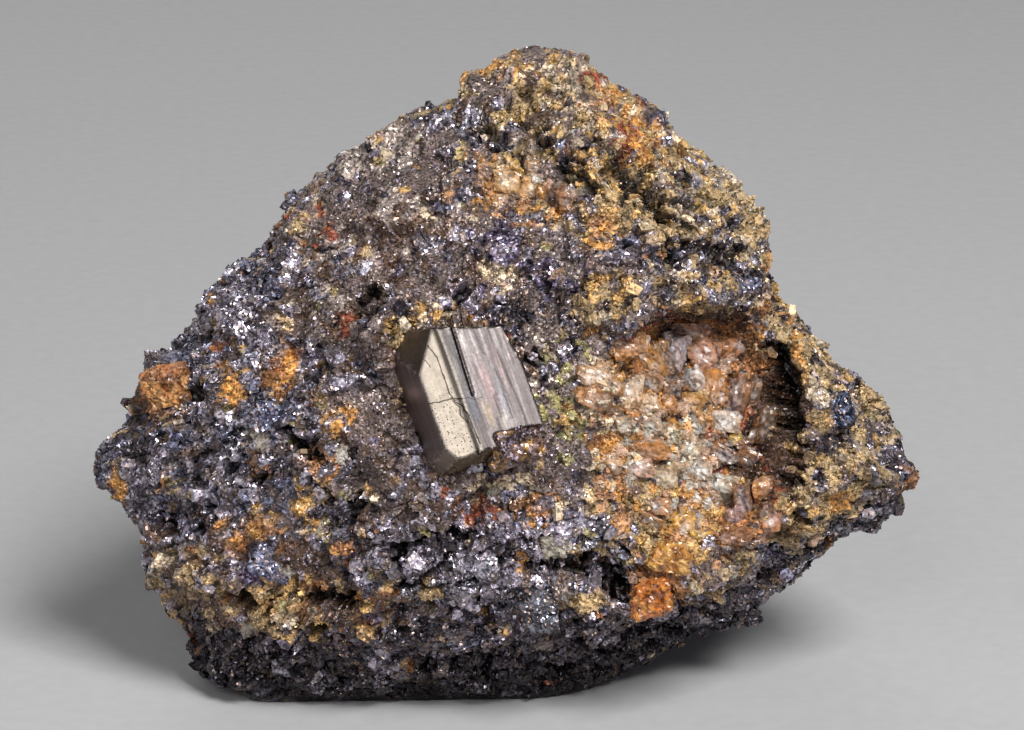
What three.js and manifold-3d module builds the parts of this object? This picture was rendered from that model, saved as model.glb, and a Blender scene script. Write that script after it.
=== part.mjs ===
// A cobaltite specimen: one silvery, striated cobaltite crystal standing out of a lump of granular
// sulphide and mica rock, with a hollow lined by iron-stained quartz to its right, a smaller quartz
// pocket above it, and a few larger mineral grains that can be told apart from the rock around them.
//
// Millimetres, +Z up. The crystal's side faces -Y, +X is to its right, and the rock stands on a flat
// break at z = 0. The origin is the middle of that resting break.

import * as THREE from "three";
import { ConvexHull } from "three/addons/math/ConvexHull.js";
import { ConvexGeometry } from "three/addons/geometries/ConvexGeometry.js";
import { mergeVertices } from "three/addons/utils/BufferGeometryUtils.js";
import Module from "manifold-3d";

const wasm = await Module();
wasm.setup();

// Driving dimensions

const ROCK_DETAIL = 16; // subdivisions of each icosahedron edge in the rock's skin
const ROCK_HEART = new THREE.Vector3(0, 0, 17); // every outward direction on the rock starts here
const FRONT_CROWDING = 0.25; // how much finer the skin is on the crystal's side than behind
const EDGE_ROUNDING = 0.3; // how far the broken edges are worn back
const FOOT_FADE = 2.6; // height over which the relief dies out above the resting break
const GAP = 0.3; // clearance between a crystal or grain and the rock it grew in
const SPECKLE_SEED = 7;

// Corners of the broken lump. Its faces are the flat breaks between them.
const ROCK_CORNERS = {
  peak: [1.7, 5, 37.4],
  peakLeft: [-2.2, 3, 36.2],
  peakRight: [6.9, 4.5, 35.4],
  upperLeftShoulder: [-11, 3, 31.6],
  upperRight: [11.5, 3, 31.7],
  rightShoulder: [15.1, 1, 28.2],
  leftBrow: [-15.6, 1, 26.8],
  leftSlope: [-20.8, 0, 20.8],
  leftTip: [-25.3, -3, 13.2],
  leftLower: [-22.4, -3, 6.4],
  beakTop: [21.8, -3, 17.6],
  beak: [24.9, -4, 12.9],
  rightLow: [16, -3.5, 4.6],
  upperLeftFace: [-8, -6, 29.4],
  upperFace: [0.5, -8, 28.8],
  upperRightFace: [5.4, -4.5, 32.8],
  hollowTop: [10.9, -8.5, 26.5],
  leftFace: [-9.9, -13, 19.5],
  leftFlank: [-19, -8, 17.9],
  leftFlankLow: [-19, -8.5, 6.6],
  middleFace: [-2, -14.5, 14.9],
  rightFace: [11.5, -12.5, 10.4],
  beakFace: [20, -9.5, 15.2],
  ledgeLeft: [-11.1, -12, 5.7],
  ledgeMiddle: [2.9, -12.5, 6.5],
  footLeft: [-16, -8.3, 0],
  footMiddle: [2.9, -7.6, 0],
  footRight: [5.4, -6, 0],
  footRightSide: [8.5, 0.5, 0],
  footBackRight: [11, 8, 0],
  footBackLeft: [-15, 9, 0],
  footLeftSide: [-17.5, -1, 0],
  backTop: [2, 10, 34],
  backUpperLeft: [-9, 11, 28],
  backLeft: [-20, 8, 17],
  backLeftLow: [-17, 9, 5],
  backMiddle: [-3, 15, 20],
  backRight: [14, 10, 24],
  backRightFace: [19, 7, 14],
  backRightLow: [14, 9, 4],
  backLow: [0, 14, 5],
};

// Lumps (height above 0) and pits and cracks (below 0) of the crystal's side.
// at is across and up; reach is the half size along the feature and across it; turn is in degrees.
const FRONT_RELIEF = [
  { name: "pit left of the cap", at: [-1.9, 34.0], reach: [1.1, 0.8], turn: 30, height: -1.6 },
  { name: "gap under the cap", at: [0.6, 32.9], reach: [2.8, 0.5], turn: -28, height: -0.9 },
  { name: "cap", at: [4.5, 34.6], reach: [4.6, 2.6], turn: -25, height: 0.8 },
  { name: "cap shoulder", at: [9.4, 31.2], reach: [3.4, 2.0], turn: -45, height: 0.9 },
  { name: "ledge below the cap", at: [7.2, 29.0], reach: [4.2, 0.6], turn: -28, height: -1.1 },
  { name: "tilted slab", at: [11.8, 28.6], reach: [3.6, 1.4], turn: -35, height: 0.8 },
  { name: "gap under the slab", at: [12.2, 26.9], reach: [3.4, 0.5], turn: -30, height: -1.0 },
  { name: "brow over the hollow", at: [10.6, 26.0], reach: [4.6, 1.3], turn: -12, height: 1.2 },
  { name: "rim right of the hollow", at: [18.2, 20.0], reach: [1.6, 4.0], turn: 25, height: 1.1 },
  { name: "dent above the beak", at: [20.6, 19.6], reach: [1.6, 1.4], turn: 0, height: -0.8 },
  { name: "swell below the hollow", at: [11.5, 9.6], reach: [4.6, 1.5], turn: 12, height: 0.7 },
  { name: "pit in the left flank", at: [-16.6, 15.5], reach: [1.8, 0.6], turn: 12, height: -1.0 },
  { name: "pit left of the crystal", at: [-11.8, 17.6], reach: [0.9, 0.7], turn: 0, height: -0.9 },
  { name: "collar above the crystal", at: [-6.9, 24.6], reach: [2.4, 1.2], turn: 48, height: 1.5 },
  { name: "notch in the left edge", at: [-22.6, 9.4], reach: [2.2, 0.6], turn: -15, height: -1.2 },
  { name: "lump under the notch", at: [-20.4, 7.6], reach: [2.0, 1.3], turn: 0, height: 0.8 },
  { name: "long crack", at: [-5.2, 12.2], reach: [3.6, 0.45], turn: 8, height: -1.3 },
  { name: "slanting crack", at: [-4.2, 10.9], reach: [2.6, 0.45], turn: 38, height: -1.3 },
  { name: "plates under the crystal", at: [-1.5, 10.2], reach: [3.0, 1.5], turn: 5, height: 0.8 },
  { name: "bedding gap", at: [4.4, 10.7], reach: [4.6, 0.45], turn: -6, height: -1.2 },
  { name: "lower shelf", at: [4.0, 8.6], reach: [5.0, 1.1], turn: 2, height: 0.7 },
  { name: "gap beside the orange grain", at: [6.0, 9.4], reach: [1.2, 0.6], turn: -5, height: -1.0 },
  { name: "hollow under the shelf", at: [-6.8, 7.6], reach: [3.2, 0.8], turn: 10, height: -1.0 },
  { name: "step in the left foot", at: [-14.0, 4.4], reach: [4.2, 0.6], turn: -20, height: -0.9 },
];

// The same for the rock's edge all round, so that it shows from both sides.
const EDGE_RELIEF = [
  { name: "crest", at: [2.2, 37.2], reach: [4.2, 2.4], turn: 0, height: 0.8 },
  { name: "crest shoulder", at: [-1.6, 35.6], reach: [1.8, 1.8], turn: 0, height: 0.5 },
  { name: "notch in the right edge", at: [18.8, 23.0], reach: [2.6, 5.2], turn: 30, height: -2.1 },
  { name: "bump at the right shoulder", at: [15.2, 28.2], reach: [1.5, 1.5], turn: 0, height: 0.4 },
  { name: "undercut at the right foot", at: [12.6, 2.6], reach: [5.0, 1.5], turn: 26, height: -0.9 },
  { name: "knob on the left edge", at: [-22.6, 17.6], reach: [1.4, 1.6], turn: 20, height: 0.4 },
  { name: "lump at the left tip", at: [-24.8, 14.0], reach: [1.8, 1.8], turn: 0, height: 0.7 },
  { name: "lump at the left foot", at: [-17.6, 1.2], reach: [2.6, 2.0], turn: -30, height: 0.8 },
];

// The same for the far side, which is broken more plainly.
const BACK_RELIEF = [
  { name: "back ledge", at: [-4, 23], reach: [9.0, 0.9], turn: 14, height: -1.3 },
  { name: "back swell", at: [6, 17], reach: [4.5, 3.2], turn: 30, height: 1.0 },
  { name: "back scar", at: [-11, 13], reach: [4.2, 2.4], turn: -20, height: -1.2 },
  { name: "back lump", at: [-3, 29], reach: [3.6, 2.2], turn: 0, height: 0.9 },
  { name: "back low step", at: [5, 8], reach: [7.5, 0.8], turn: -8, height: -1.1 },
];

// The hollow beside the crystal: shallow at its lower left, steep walled at its upper right.
const HOLLOW = { at: [10.9, 18.3], reach: [6.2, 7.0], depth: 5.0, shallowShare: 0.22 };
const HOLLOW_INWARD = new THREE.Vector3(-0.2, 0.97, -0.12).normalize();
const UPPER_POCKET = { at: [0.9, 31.2], reach: [2.9, 1.5], depth: 1.3 };

// Chips: flat-faced breaks of two sizes all over the rock.
const CHIP_SIZES = [
  { cell: 4.2, slope: 0.24, offset: 0.5 },
  { cell: 2.1, slope: 0.22, offset: 0.22 },
];

// The cobaltite crystal, on its own axes: out of the striated face, to the left, and down its length.
const CRYSTAL = {
  centre: new THREE.Vector3(-3.05, -11.4, 20.25),
  down: new THREE.Vector3(0.33, -0.474, -0.813),
  out: new THREE.Vector3(0.35, -0.779, 0.516),
  blank: 14,
};
// Each face as its normal on those axes and its distance from the crystal's centre.
const CRYSTAL_FACES = {
  striatedCube: [[1, 0, 0], 3.5],
  leftCube: [[0, 1, 0], 3.02],
  rightCube: [[0, -1, 0], 3.05],
  bottomCube: [[0, 0, 1], 3.9],
  backCube: [[-1, 0, 0], 4.2],
  topBreak: [[0.25, -0.209, -0.945], 4.27],
  brightPyritohedral: [[0.894, 0.447, 0], 3.72],
  upperLeftBevel: [[0.356, 0.844, -0.401], 4.13],
  lowerLeftBevel: [[0.021, 0.898, 0.439], 4.08],
  upperRightBevel: [[0.2, -0.962, -0.183], 3.78],
};

// Rock filling the broken lower right corner of the crystal, on the crystal's axes.
const CORNER_FILL = { at: [2.3, -1.5, 4.15], size: [1.2, 1.5, 0.95], seed: 41 };

// Larger grains that show on the surface: where across and up, half sizes, how far they stand out.
const LOOSE_GRAINS = {
  rust_orange_grain: { at: [8.0, 9.0], size: [1.2, 1.2, 1.1], standOut: 0.3, turn: 10, seed: 11 },
  amber_grain: { at: [9.4, 11.0], size: [1.1, 1.0, 0.75], standOut: 0.2, turn: -20, seed: 12 },
  pale_quartz_grain: { at: [2.6, 11.9], size: [0.9, 0.8, 0.6], standOut: 0.2, turn: 5, seed: 13 },
  dark_sulphide_grain: { at: [1.5, 8.4], size: [1.1, 1.1, 1.5], standOut: 0.35, turn: 8, seed: 14 },
  blue_sulphide_grain: { at: [18.4, 18.4], size: [0.8, 0.8, 1.0], standOut: 0.2, turn: 15, seed: 15 },
  violet_sulphide_grain: { at: [-14.8, 9.6], size: [1.3, 1.0, 0.9], standOut: 0.1, turn: -25, seed: 16 },
  rusty_edge_grain: { at: [-20.6, 18.5], size: [1.4, 1.2, 1.3], standOut: 0.1, turn: 20, seed: 17 },
};

const FINISHES = {
  rock: { color: 0x4c4a4d, roughness: 0.55, metalness: 0.45 },
  cobaltite: { color: 0xb9b2a8, roughness: 0.3, metalness: 1 },
  quartz: { color: 0xd09a66, roughness: 0.35, metalness: 0 },
  rust: { color: 0xb5601f, roughness: 0.7, metalness: 0 },
  paleQuartz: { color: 0xc9c4b4, roughness: 0.3, metalness: 0 },
  darkSulphide: { color: 0x3a3d48, roughness: 0.35, metalness: 0.9 },
  blueSulphide: { color: 0x4a5a88, roughness: 0.3, metalness: 0.9 },
  violetSulphide: { color: 0x7277a8, roughness: 0.35, metalness: 0.9 },
  gangue: { color: 0x6b4f33, roughness: 0.8, metalness: 0 },
};

// Small tools

const smoothStep = (low, high, value) => {
  const t = THREE.MathUtils.clamp((value - low) / (high - low), 0, 1);
  return t * t * (3 - 2 * t);
};

// A repeatable stream of numbers from 0 to 1.
function seededRandom(seed) {
  let state = seed * 2654435761;
  return () => {
    state = (Math.imul(state ^ (state >>> 15), 2246822519) + 3266489917) >>> 0;
    return ((state ^ (state >>> 13)) >>> 0) / 2 ** 32;
  };
}

// A repeatable number from 0 to 1 for one cell of space.
function cellValue(i, j, k, channel) {
  const s = Math.sin(i * 127.1 + j * 311.7 + k * 74.7 + channel * 53.3 + SPECKLE_SEED) * 43758.5453;
  return s - Math.floor(s);
}

function solidOf(geometry) {
  const bare = geometry.clone();
  bare.deleteAttribute("normal");
  bare.deleteAttribute("uv");
  const merged = mergeVertices(bare, 1e-5);
  return new wasm.Manifold(
    new wasm.Mesh({
      numProp: 3,
      vertProperties: new Float32Array(merged.attributes.position.array),
      triVerts: new Uint32Array(merged.index.array),
    }),
  );
}

// The largest body of a solid, without slivers that a cut left loose.
function mainBody(solid) {
  return solid.decompose().reduce((a, b) => (b.volume() > a.volume() ? b : a));
}

function meshOf(name, solid, finish) {
  const { vertProperties, triVerts } = mainBody(solid).getMesh();
  const geometry = new THREE.BufferGeometry();
  geometry.setAttribute("position", new THREE.BufferAttribute(vertProperties, 3));
  geometry.setIndex(new THREE.BufferAttribute(triVerts, 1));
  geometry.computeVertexNormals();
  const mesh = new THREE.Mesh(geometry, new THREE.MeshStandardMaterial(finish));
  mesh.name = name;
  return mesh;
}

// The rock

const rockFaces = (() => {
  const corners = Object.values(ROCK_CORNERS).map((c) => new THREE.Vector3(...c));
  return new ConvexHull().setFromPoints(corners).faces;
})();

// How far the broken lump reaches from its heart along a direction, its edges worn a little.
function lumpReach(direction) {
  let share = 0;
  for (const face of rockFaces) {
    const facing = face.normal.dot(direction);
    if (facing < 1e-6 || face.normal.z < -0.999) continue;
    const distance = -face.distanceToPoint(ROCK_HEART) / facing;
    share += Math.exp(-distance / EDGE_ROUNDING);
  }
  const worn = -EDGE_ROUNDING * Math.log(share);
  return direction.z < 0 ? Math.min(worn, -ROCK_HEART.z / direction.z) : worn;
}

// Height of one lump, pit or crack at a point: full in its middle, none beyond its reach.
function featureHeight({ at, reach, turn, height }, point) {
  const angle = THREE.MathUtils.degToRad(turn);
  const across = point.x - at[0];
  const up = point.z - at[1];
  const along = (across * Math.cos(angle) + up * Math.sin(angle)) / reach[0];
  const over = (up * Math.cos(angle) - across * Math.sin(angle)) / reach[1];
  return height * (1 - smoothStep(0.35, 1.25, Math.hypot(along, over)));
}

// Flat-faced chips: each cell of space has its own tilted face, so neighbours meet in small steps.
function chipHeight({ cell, slope, offset }, point) {
  const [x, y, z] = [point.x / cell, point.y / cell, point.z / cell];
  const [i0, j0, k0] = [Math.floor(x), Math.floor(y), Math.floor(z)];
  let nearest = Infinity;
  let height = 0;
  for (let i = i0 - 1; i <= i0 + 1; i += 1) {
    for (let j = j0 - 1; j <= j0 + 1; j += 1) {
      for (let k = k0 - 1; k <= k0 + 1; k += 1) {
        const away = [0, 1, 2].map((c) => [x - i, y - j, z - k][c] - cellValue(i, j, k, c));
        const distance = Math.hypot(...away);
        if (distance >= nearest) continue;
        nearest = distance;
        const tilt = away.reduce((sum, a, c) => sum + a * (cellValue(i, j, k, c + 3) - 0.5), 0);
        height = tilt * 2 * slope * cell + (cellValue(i, j, k, 6) - 0.5) * offset;
      }
    }
  }
  return height;
}

function hollowDepth(point) {
  const across = (point.x - HOLLOW.at[0]) / HOLLOW.reach[0];
  const up = (point.z - HOLLOW.at[1]) / HOLLOW.reach[1];
  const inside = 1 - smoothStep(0.72, 1.04, Math.hypot(across, up));
  const deepening = smoothStep(-0.9, 0.55, across * 0.8 + up * 0.6);
  return HOLLOW.depth * inside * THREE.MathUtils.lerp(HOLLOW.shallowShare, 1, deepening);
}

function upperPocketDepth(point) {
  const across = (point.x - UPPER_POCKET.at[0]) / UPPER_POCKET.reach[0];
  const up = (point.z - UPPER_POCKET.at[1]) / UPPER_POCKET.reach[1];
  return UPPER_POCKET.depth * (1 - smoothStep(0.6, 1.1, Math.hypot(across, up)));
}

// The point of the rock's skin that lies along a direction, lifted by extra millimetres.
function skinPoint(direction, extra = 0) {
  const point = direction.clone().multiplyScalar(lumpReach(direction)).add(ROCK_HEART);
  const front = smoothStep(0.05, 0.25, -direction.y);
  const back = smoothStep(0.05, 0.25, direction.y);
  const footFade = smoothStep(0.1, FOOT_FADE, point.z);
  const hollow = hollowDepth(point) * front;
  const chipFade = 1 - 0.7 * smoothStep(0.2, 1.5, hollow);
  let lift = CHIP_SIZES.reduce((sum, size) => sum + chipHeight(size, point), 0) * chipFade;
  lift += FRONT_RELIEF.reduce((sum, f) => sum + featureHeight(f, point), 0) * front;
  lift += BACK_RELIEF.reduce((sum, f) => sum + featureHeight(f, point), 0) * back;
  lift += EDGE_RELIEF.reduce((sum, f) => sum + featureHeight(f, point), 0);
  lift -= upperPocketDepth(point) * front;
  point.addScaledVector(direction, lift * footFade + extra);
  point.addScaledVector(HOLLOW_INWARD, hollow * footFade);
  point.z = Math.max(point.z, 0);
  return point;
}

// The direction whose point on the unworn front of the lump has the given place across and up.
function frontDirection(across, up) {
  const direction = new THREE.Vector3();
  let [near, far] = [-20, 0];
  for (let step = 0; step < 30; step += 1) {
    const depth = (near + far) / 2;
    direction.set(across, depth, up).sub(ROCK_HEART);
    const distance = direction.length();
    direction.normalize();
    if (lumpReach(direction) > distance) far = depth;
    else near = depth;
  }
  return direction;
}

function rockSkin(extra = 0) {
  const skin = new THREE.IcosahedronGeometry(1, ROCK_DETAIL);
  skin.deleteAttribute("normal");
  skin.deleteAttribute("uv");
  const merged = mergeVertices(skin, 1e-5);
  const position = merged.attributes.position;
  const direction = new THREE.Vector3();
  for (let i = 0; i < position.count; i += 1) {
    direction.fromBufferAttribute(position, i).normalize();
    direction.y -= FRONT_CROWDING;
    direction.normalize();
    position.setXYZ(i, ...skinPoint(direction, extra));
  }
  return solidOf(merged);
}

// The cobaltite crystal

// Turns the crystal's own axes (out, left, down) to the rock's.
const crystalPlacing = (() => {
  const down = CRYSTAL.down.clone().normalize();
  const out = CRYSTAL.out.clone().addScaledVector(down, -CRYSTAL.out.dot(down)).normalize();
  const left = down.clone().cross(out).normalize();
  return new THREE.Matrix4().makeBasis(out, left, down).setPosition(CRYSTAL.centre);
})();

// The crystal's block with every face moved outwards by grow.
function crystalBlock(grow = 0) {
  const turned = crystalPlacing.clone().setPosition(0, 0, 0);
  const blank = new THREE.BoxGeometry(CRYSTAL.blank, CRYSTAL.blank, CRYSTAL.blank);
  blank.applyMatrix4(crystalPlacing);
  return Object.values(CRYSTAL_FACES).reduce((solid, [normal, distance]) => {
    const outward = new THREE.Vector3(...normal).normalize().applyMatrix4(turned);
    const reach = outward.dot(CRYSTAL.centre) + distance + grow;
    return solid.trimByPlane(outward.negate().toArray(), -reach);
  }, solidOf(blank));
}

// Grains

// A flat-faced grain: the hull of a box's corners and a few face points, each moved a little.
function grainGeometry(size, seed, grow = 0) {
  const random = seededRandom(seed);
  const points = [];
  for (const x of [-1, 0, 1]) {
    for (const y of [-1, 0, 1]) {
      for (const z of [-1, 0, 1]) {
        const zeros = [x, y, z].filter((c) => c === 0).length;
        if (zeros === 1 || zeros === 3) continue;
        const length = zeros === 0 ? 0.72 + 0.2 * random() : 0.92 + 0.16 * random();
        const skew = () => 0.16 * (random() - 0.5);
        points.push(new THREE.Vector3(x + skew(), y + skew(), z + skew()).multiplyScalar(length));
      }
    }
  }
  const [a, b, c] = size.map((s) => s + grow);
  return new ConvexGeometry(points).scale(a, b, c);
}

// A grain in the rock's front, sunk so that standOut of it is above the skin.
function looseGrain({ at, size, standOut, turn, seed }, grow = 0) {
  const direction = frontDirection(...at);
  const centre = skinPoint(direction).addScaledVector(direction, size[1] * (standOut * 2 - 1) * 0.6);
  const geometry = grainGeometry(size, seed, grow);
  geometry.rotateY(THREE.MathUtils.degToRad(-turn));
  geometry.translate(...centre);
  return solidOf(geometry);
}

// Grains grown together over a patch of the rock's front, as one crust.
function grainCrust({ at, reach }, { spacing, smallest, largest, sink, seed }) {
  const random = seededRandom(seed);
  const grains = [];
  for (let up = -reach[1]; up <= reach[1]; up += spacing) {
    for (let across = -reach[0]; across <= reach[0]; across += spacing) {
      const [dx, dz] = [across + spacing * 0.5 * random(), up + spacing * 0.5 * random()];
      if (Math.hypot(dx / reach[0], dz / reach[1]) > 0.92) continue;
      const direction = frontDirection(at[0] + dx, at[1] + dz);
      const radius = THREE.MathUtils.lerp(smallest, largest, random() ** 1.6);
      const size = [radius, radius * (0.8 + 0.3 * random()), radius * (0.9 + 0.5 * random())];
      const geometry = grainGeometry(size, seed + grains.length);
      geometry.rotateX(random() * 0.7);
      geometry.rotateY(random() * Math.PI);
      geometry.translate(...skinPoint(direction).addScaledVector(HOLLOW_INWARD, sink));
      grains.push(solidOf(geometry));
    }
  }
  return grains.reduce((crust, grain) => crust.add(grain));
}

const HOLLOW_CRUST = { spacing: 1.75, smallest: 1.15, largest: 1.75, sink: 0.1, seed: 101 };
const UPPER_CRUST = { spacing: 1.15, smallest: 0.85, largest: 1.2, sink: 0.2, seed: 202 };

// Assembly

const sockets = Object.values(LOOSE_GRAINS).map((grain) => looseGrain(grain, GAP));
const clearCrystal = crystalBlock(GAP);
// The rock with its clearance: lifted outwards, and moved off the hollow's steep walls.
const clearRock = [[-GAP, 0, 0], [GAP, 0, 0], [0, -GAP, 0], [0, 0, -GAP]]
  .map((shift) => rockSkin().translate(shift))
  .reduce((solid, shifted) => solid.add(shifted), rockSkin(GAP));

const cornerFill = (grow = 0) => {
  const { at, size, seed } = CORNER_FILL;
  const geometry = grainGeometry(size, seed, grow);
  return solidOf(geometry.translate(...at).applyMatrix4(crystalPlacing));
};

const rock = sockets.reduce((solid, socket) => solid.subtract(socket), rockSkin()).subtract(clearCrystal);
const crystal = crystalBlock().subtract(cornerFill(GAP));
const hollowCrust = grainCrust(HOLLOW, HOLLOW_CRUST)
  .subtract(clearRock)
  .subtract(looseGrain(LOOSE_GRAINS.amber_grain, GAP));
const upperCrust = grainCrust(UPPER_POCKET, UPPER_CRUST).subtract(clearRock);
const crystalCornerFill = cornerFill().subtract(clearRock);

const grainFinishes = {
  rust_orange_grain: FINISHES.rust,
  amber_grain: FINISHES.quartz,
  pale_quartz_grain: FINISHES.paleQuartz,
  dark_sulphide_grain: FINISHES.darkSulphide,
  blue_sulphide_grain: FINISHES.blueSulphide,
  violet_sulphide_grain: FINISHES.violetSulphide,
  rusty_edge_grain: FINISHES.rust,
};

const specimen = new THREE.Group();
specimen.name = "cobaltite_specimen";
specimen.add(
  meshOf("matrix_rock", rock, FINISHES.rock),
  meshOf("cobaltite_crystal", crystal, FINISHES.cobaltite),
  meshOf("crystal_corner_fill", crystalCornerFill, FINISHES.gangue),
  meshOf("hollow_quartz_crust", hollowCrust, FINISHES.quartz),
  meshOf("upper_quartz_crust", upperCrust, FINISHES.quartz),
  ...Object.entries(LOOSE_GRAINS).map(([name, grain]) =>
    meshOf(name, looseGrain(grain), grainFinishes[name]),
  ),
);

export default specimen;
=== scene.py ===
# %% [markdown]
# # A cobaltite specimen
# The real object is a broken lump of rock, 50 mm wide, made of sulphide, mica and quartz grains. One
# silvery cobaltite crystal stands out of it, and beside the crystal a hollow is lined with rusty quartz.
# The CAD model gives the shapes and sizes as faceted solids. This script puts the real surface on them:
# the rock's fine relief, tens of thousands of mineral grains, and a finish for each mineral.
# Everything is worked out in millimetres and turned to Blender's metres when a mesh is made.

# %% Load the frame
import math
from itertools import product

import bmesh
import bpy
import numpy as np
from mathutils import Euler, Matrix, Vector
from mathutils.bvhtree import BVHTree


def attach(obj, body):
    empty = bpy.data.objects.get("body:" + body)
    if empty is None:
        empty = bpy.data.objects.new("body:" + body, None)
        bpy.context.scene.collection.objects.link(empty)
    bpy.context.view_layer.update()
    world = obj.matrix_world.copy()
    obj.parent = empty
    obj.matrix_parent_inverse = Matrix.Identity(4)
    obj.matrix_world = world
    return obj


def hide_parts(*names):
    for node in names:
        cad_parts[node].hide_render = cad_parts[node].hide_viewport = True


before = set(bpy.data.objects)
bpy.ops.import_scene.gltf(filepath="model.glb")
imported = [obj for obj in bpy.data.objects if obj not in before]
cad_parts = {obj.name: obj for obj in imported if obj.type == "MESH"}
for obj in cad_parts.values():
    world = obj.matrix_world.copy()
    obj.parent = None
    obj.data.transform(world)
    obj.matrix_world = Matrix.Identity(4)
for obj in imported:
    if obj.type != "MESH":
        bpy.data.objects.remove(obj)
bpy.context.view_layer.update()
MM = 0.001
print("CAD nodes:", ", ".join(sorted(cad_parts)))

# %% [markdown]
# ## The camera
# The photograph looks at the crystal's side from a little above. A long lens keeps the shape true: it
# stands far enough away that the front of the rock is hardly enlarged against its back. The lens also
# sets the distance, because the rock has to fill the same share of the picture.

# %% Set up the camera
LENS_MM = 150
CAMERA_DISTANCE = 0.2603
CAMERA_ELEVATION = math.radians(18)
CAMERA_TARGET = Vector((0, 0, 18.85)) * MM

camera = bpy.data.objects.new("camera", bpy.data.cameras.new("camera"))
camera.data.lens = LENS_MM
camera.data.sensor_width = 36
camera.data.clip_start = 0.01
away = Vector((0, -math.cos(CAMERA_ELEVATION), math.sin(CAMERA_ELEVATION)))
camera.location = CAMERA_TARGET + away * CAMERA_DISTANCE
camera.rotation_euler = (math.pi / 2 - CAMERA_ELEVATION, 0, 0)
bpy.context.scene.collection.objects.link(camera)
bpy.context.scene.camera = camera
print("camera at", [round(c, 4) for c in camera.location])

# %% [markdown]
# ## Cells of space
# Broken rock has no smooth curves: it is a heap of flat little breaks. A cheap way to get them is to
# divide space into irregular cells, as a Voronoi texture does, and to give each cell its own tilt,
# height or colour. The same cells are used here for the shape and for the minerals, so a colour ends
# where a break ends. The numbers come from a formula and not from a random generator, so that the CAD
# model, which uses the same formula, has its large breaks in the same places.

# %% Divide space into cells
SPECKLE_SEED = 7


def smooth_step(low, high, value):
    t = np.clip((value - low) / (high - low), 0, 1)
    return t * t * (3 - 2 * t)


def cell_value(cell, channel):
    """A repeatable number from 0 to 1 for each cell. Each channel gives other numbers."""
    s = np.sin(cell @ (127.1, 311.7, 74.7) + channel * 53.3 + SPECKLE_SEED) * 43758.5453
    return s - np.floor(s)


def nearest_cells(points, size):
    """Each point's cell, its way from the cell's centre, and its distance to that and the next centre."""
    scaled = points / size
    corner = np.floor(scaled)
    first = np.full(len(points), np.inf)
    second = first.copy()
    cell, offset = corner.copy(), corner.copy()
    for step in product((-1, 0, 1), repeat=3):
        here = corner + step
        centre = here + np.stack([cell_value(here, channel) for channel in range(3)], axis=1)
        distance = np.linalg.norm(scaled - centre, axis=1)
        nearer = distance < first
        second = np.where(nearer, first, np.minimum(second, distance))
        first = np.where(nearer, distance, first)
        cell[nearer] = here[nearer]
        offset[nearer] = (scaled - centre)[nearer]
    return cell, offset, first, second


def chip_height(points, size, slope, step):
    """Flat chips: each cell's own tilted face, and its own step up or down."""
    cell, offset, _, _ = nearest_cells(points, size)
    tilt = sum(offset[:, c] * (cell_value(cell, c + 3) - 0.5) for c in range(3))
    return tilt * 2 * slope * size + (cell_value(cell, 6) - 0.5) * step


# %% [markdown]
# ## The lump
# The rock's main shape is the block between a few dozen named corners, with its edges worn a little.
# On that lie the lumps, pits and cracks that the photograph shows, each with its place across and up,
# its half sizes and its turn. They are the same rows as in the CAD model, which has a coarser mesh, but
# for the knob on the left edge: a separate grain makes it, so here the rock under that grain is dented.

# %% List the lump's corners and features
ROCK_HEART = np.array([0, 0, 17.0])
EDGE_ROUNDING = 0.3
FOOT_FADE = 2.6

ROCK_CORNERS = [
    (1.7, 5, 37.4), (-2.2, 3, 36.2), (6.9, 4.5, 35.4), (-11, 3, 31.6), (11.5, 3, 31.7),
    (15.1, 1, 28.2), (-15.6, 1, 26.8), (-20.8, 0, 20.8), (-25.3, -3, 13.2), (-22.4, -3, 6.4),
    (21.8, -3, 17.6), (24.9, -4, 12.9), (16, -3.5, 4.6), (-8, -6, 29.4), (0.5, -8, 28.8),
    (5.4, -4.5, 32.8), (10.9, -8.5, 26.5), (-9.9, -13, 19.5), (-19, -8, 17.9), (-19, -8.5, 6.6),
    (-2, -14.5, 14.9), (11.5, -12.5, 10.4), (20, -9.5, 15.2), (-11.1, -12, 5.7), (2.9, -12.5, 6.5),
    (-16, -8.3, 0), (2.9, -7.6, 0), (5.4, -6, 0), (8.5, 0.5, 0), (11, 8, 0), (-15, 9, 0),
    (-17.5, -1, 0), (2, 10, 34), (-9, 11, 28), (-20, 8, 17), (-17, 9, 5), (-3, 15, 20),
    (14, 10, 24), (19, 7, 14), (14, 9, 4), (0, 14, 5),
]

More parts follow.
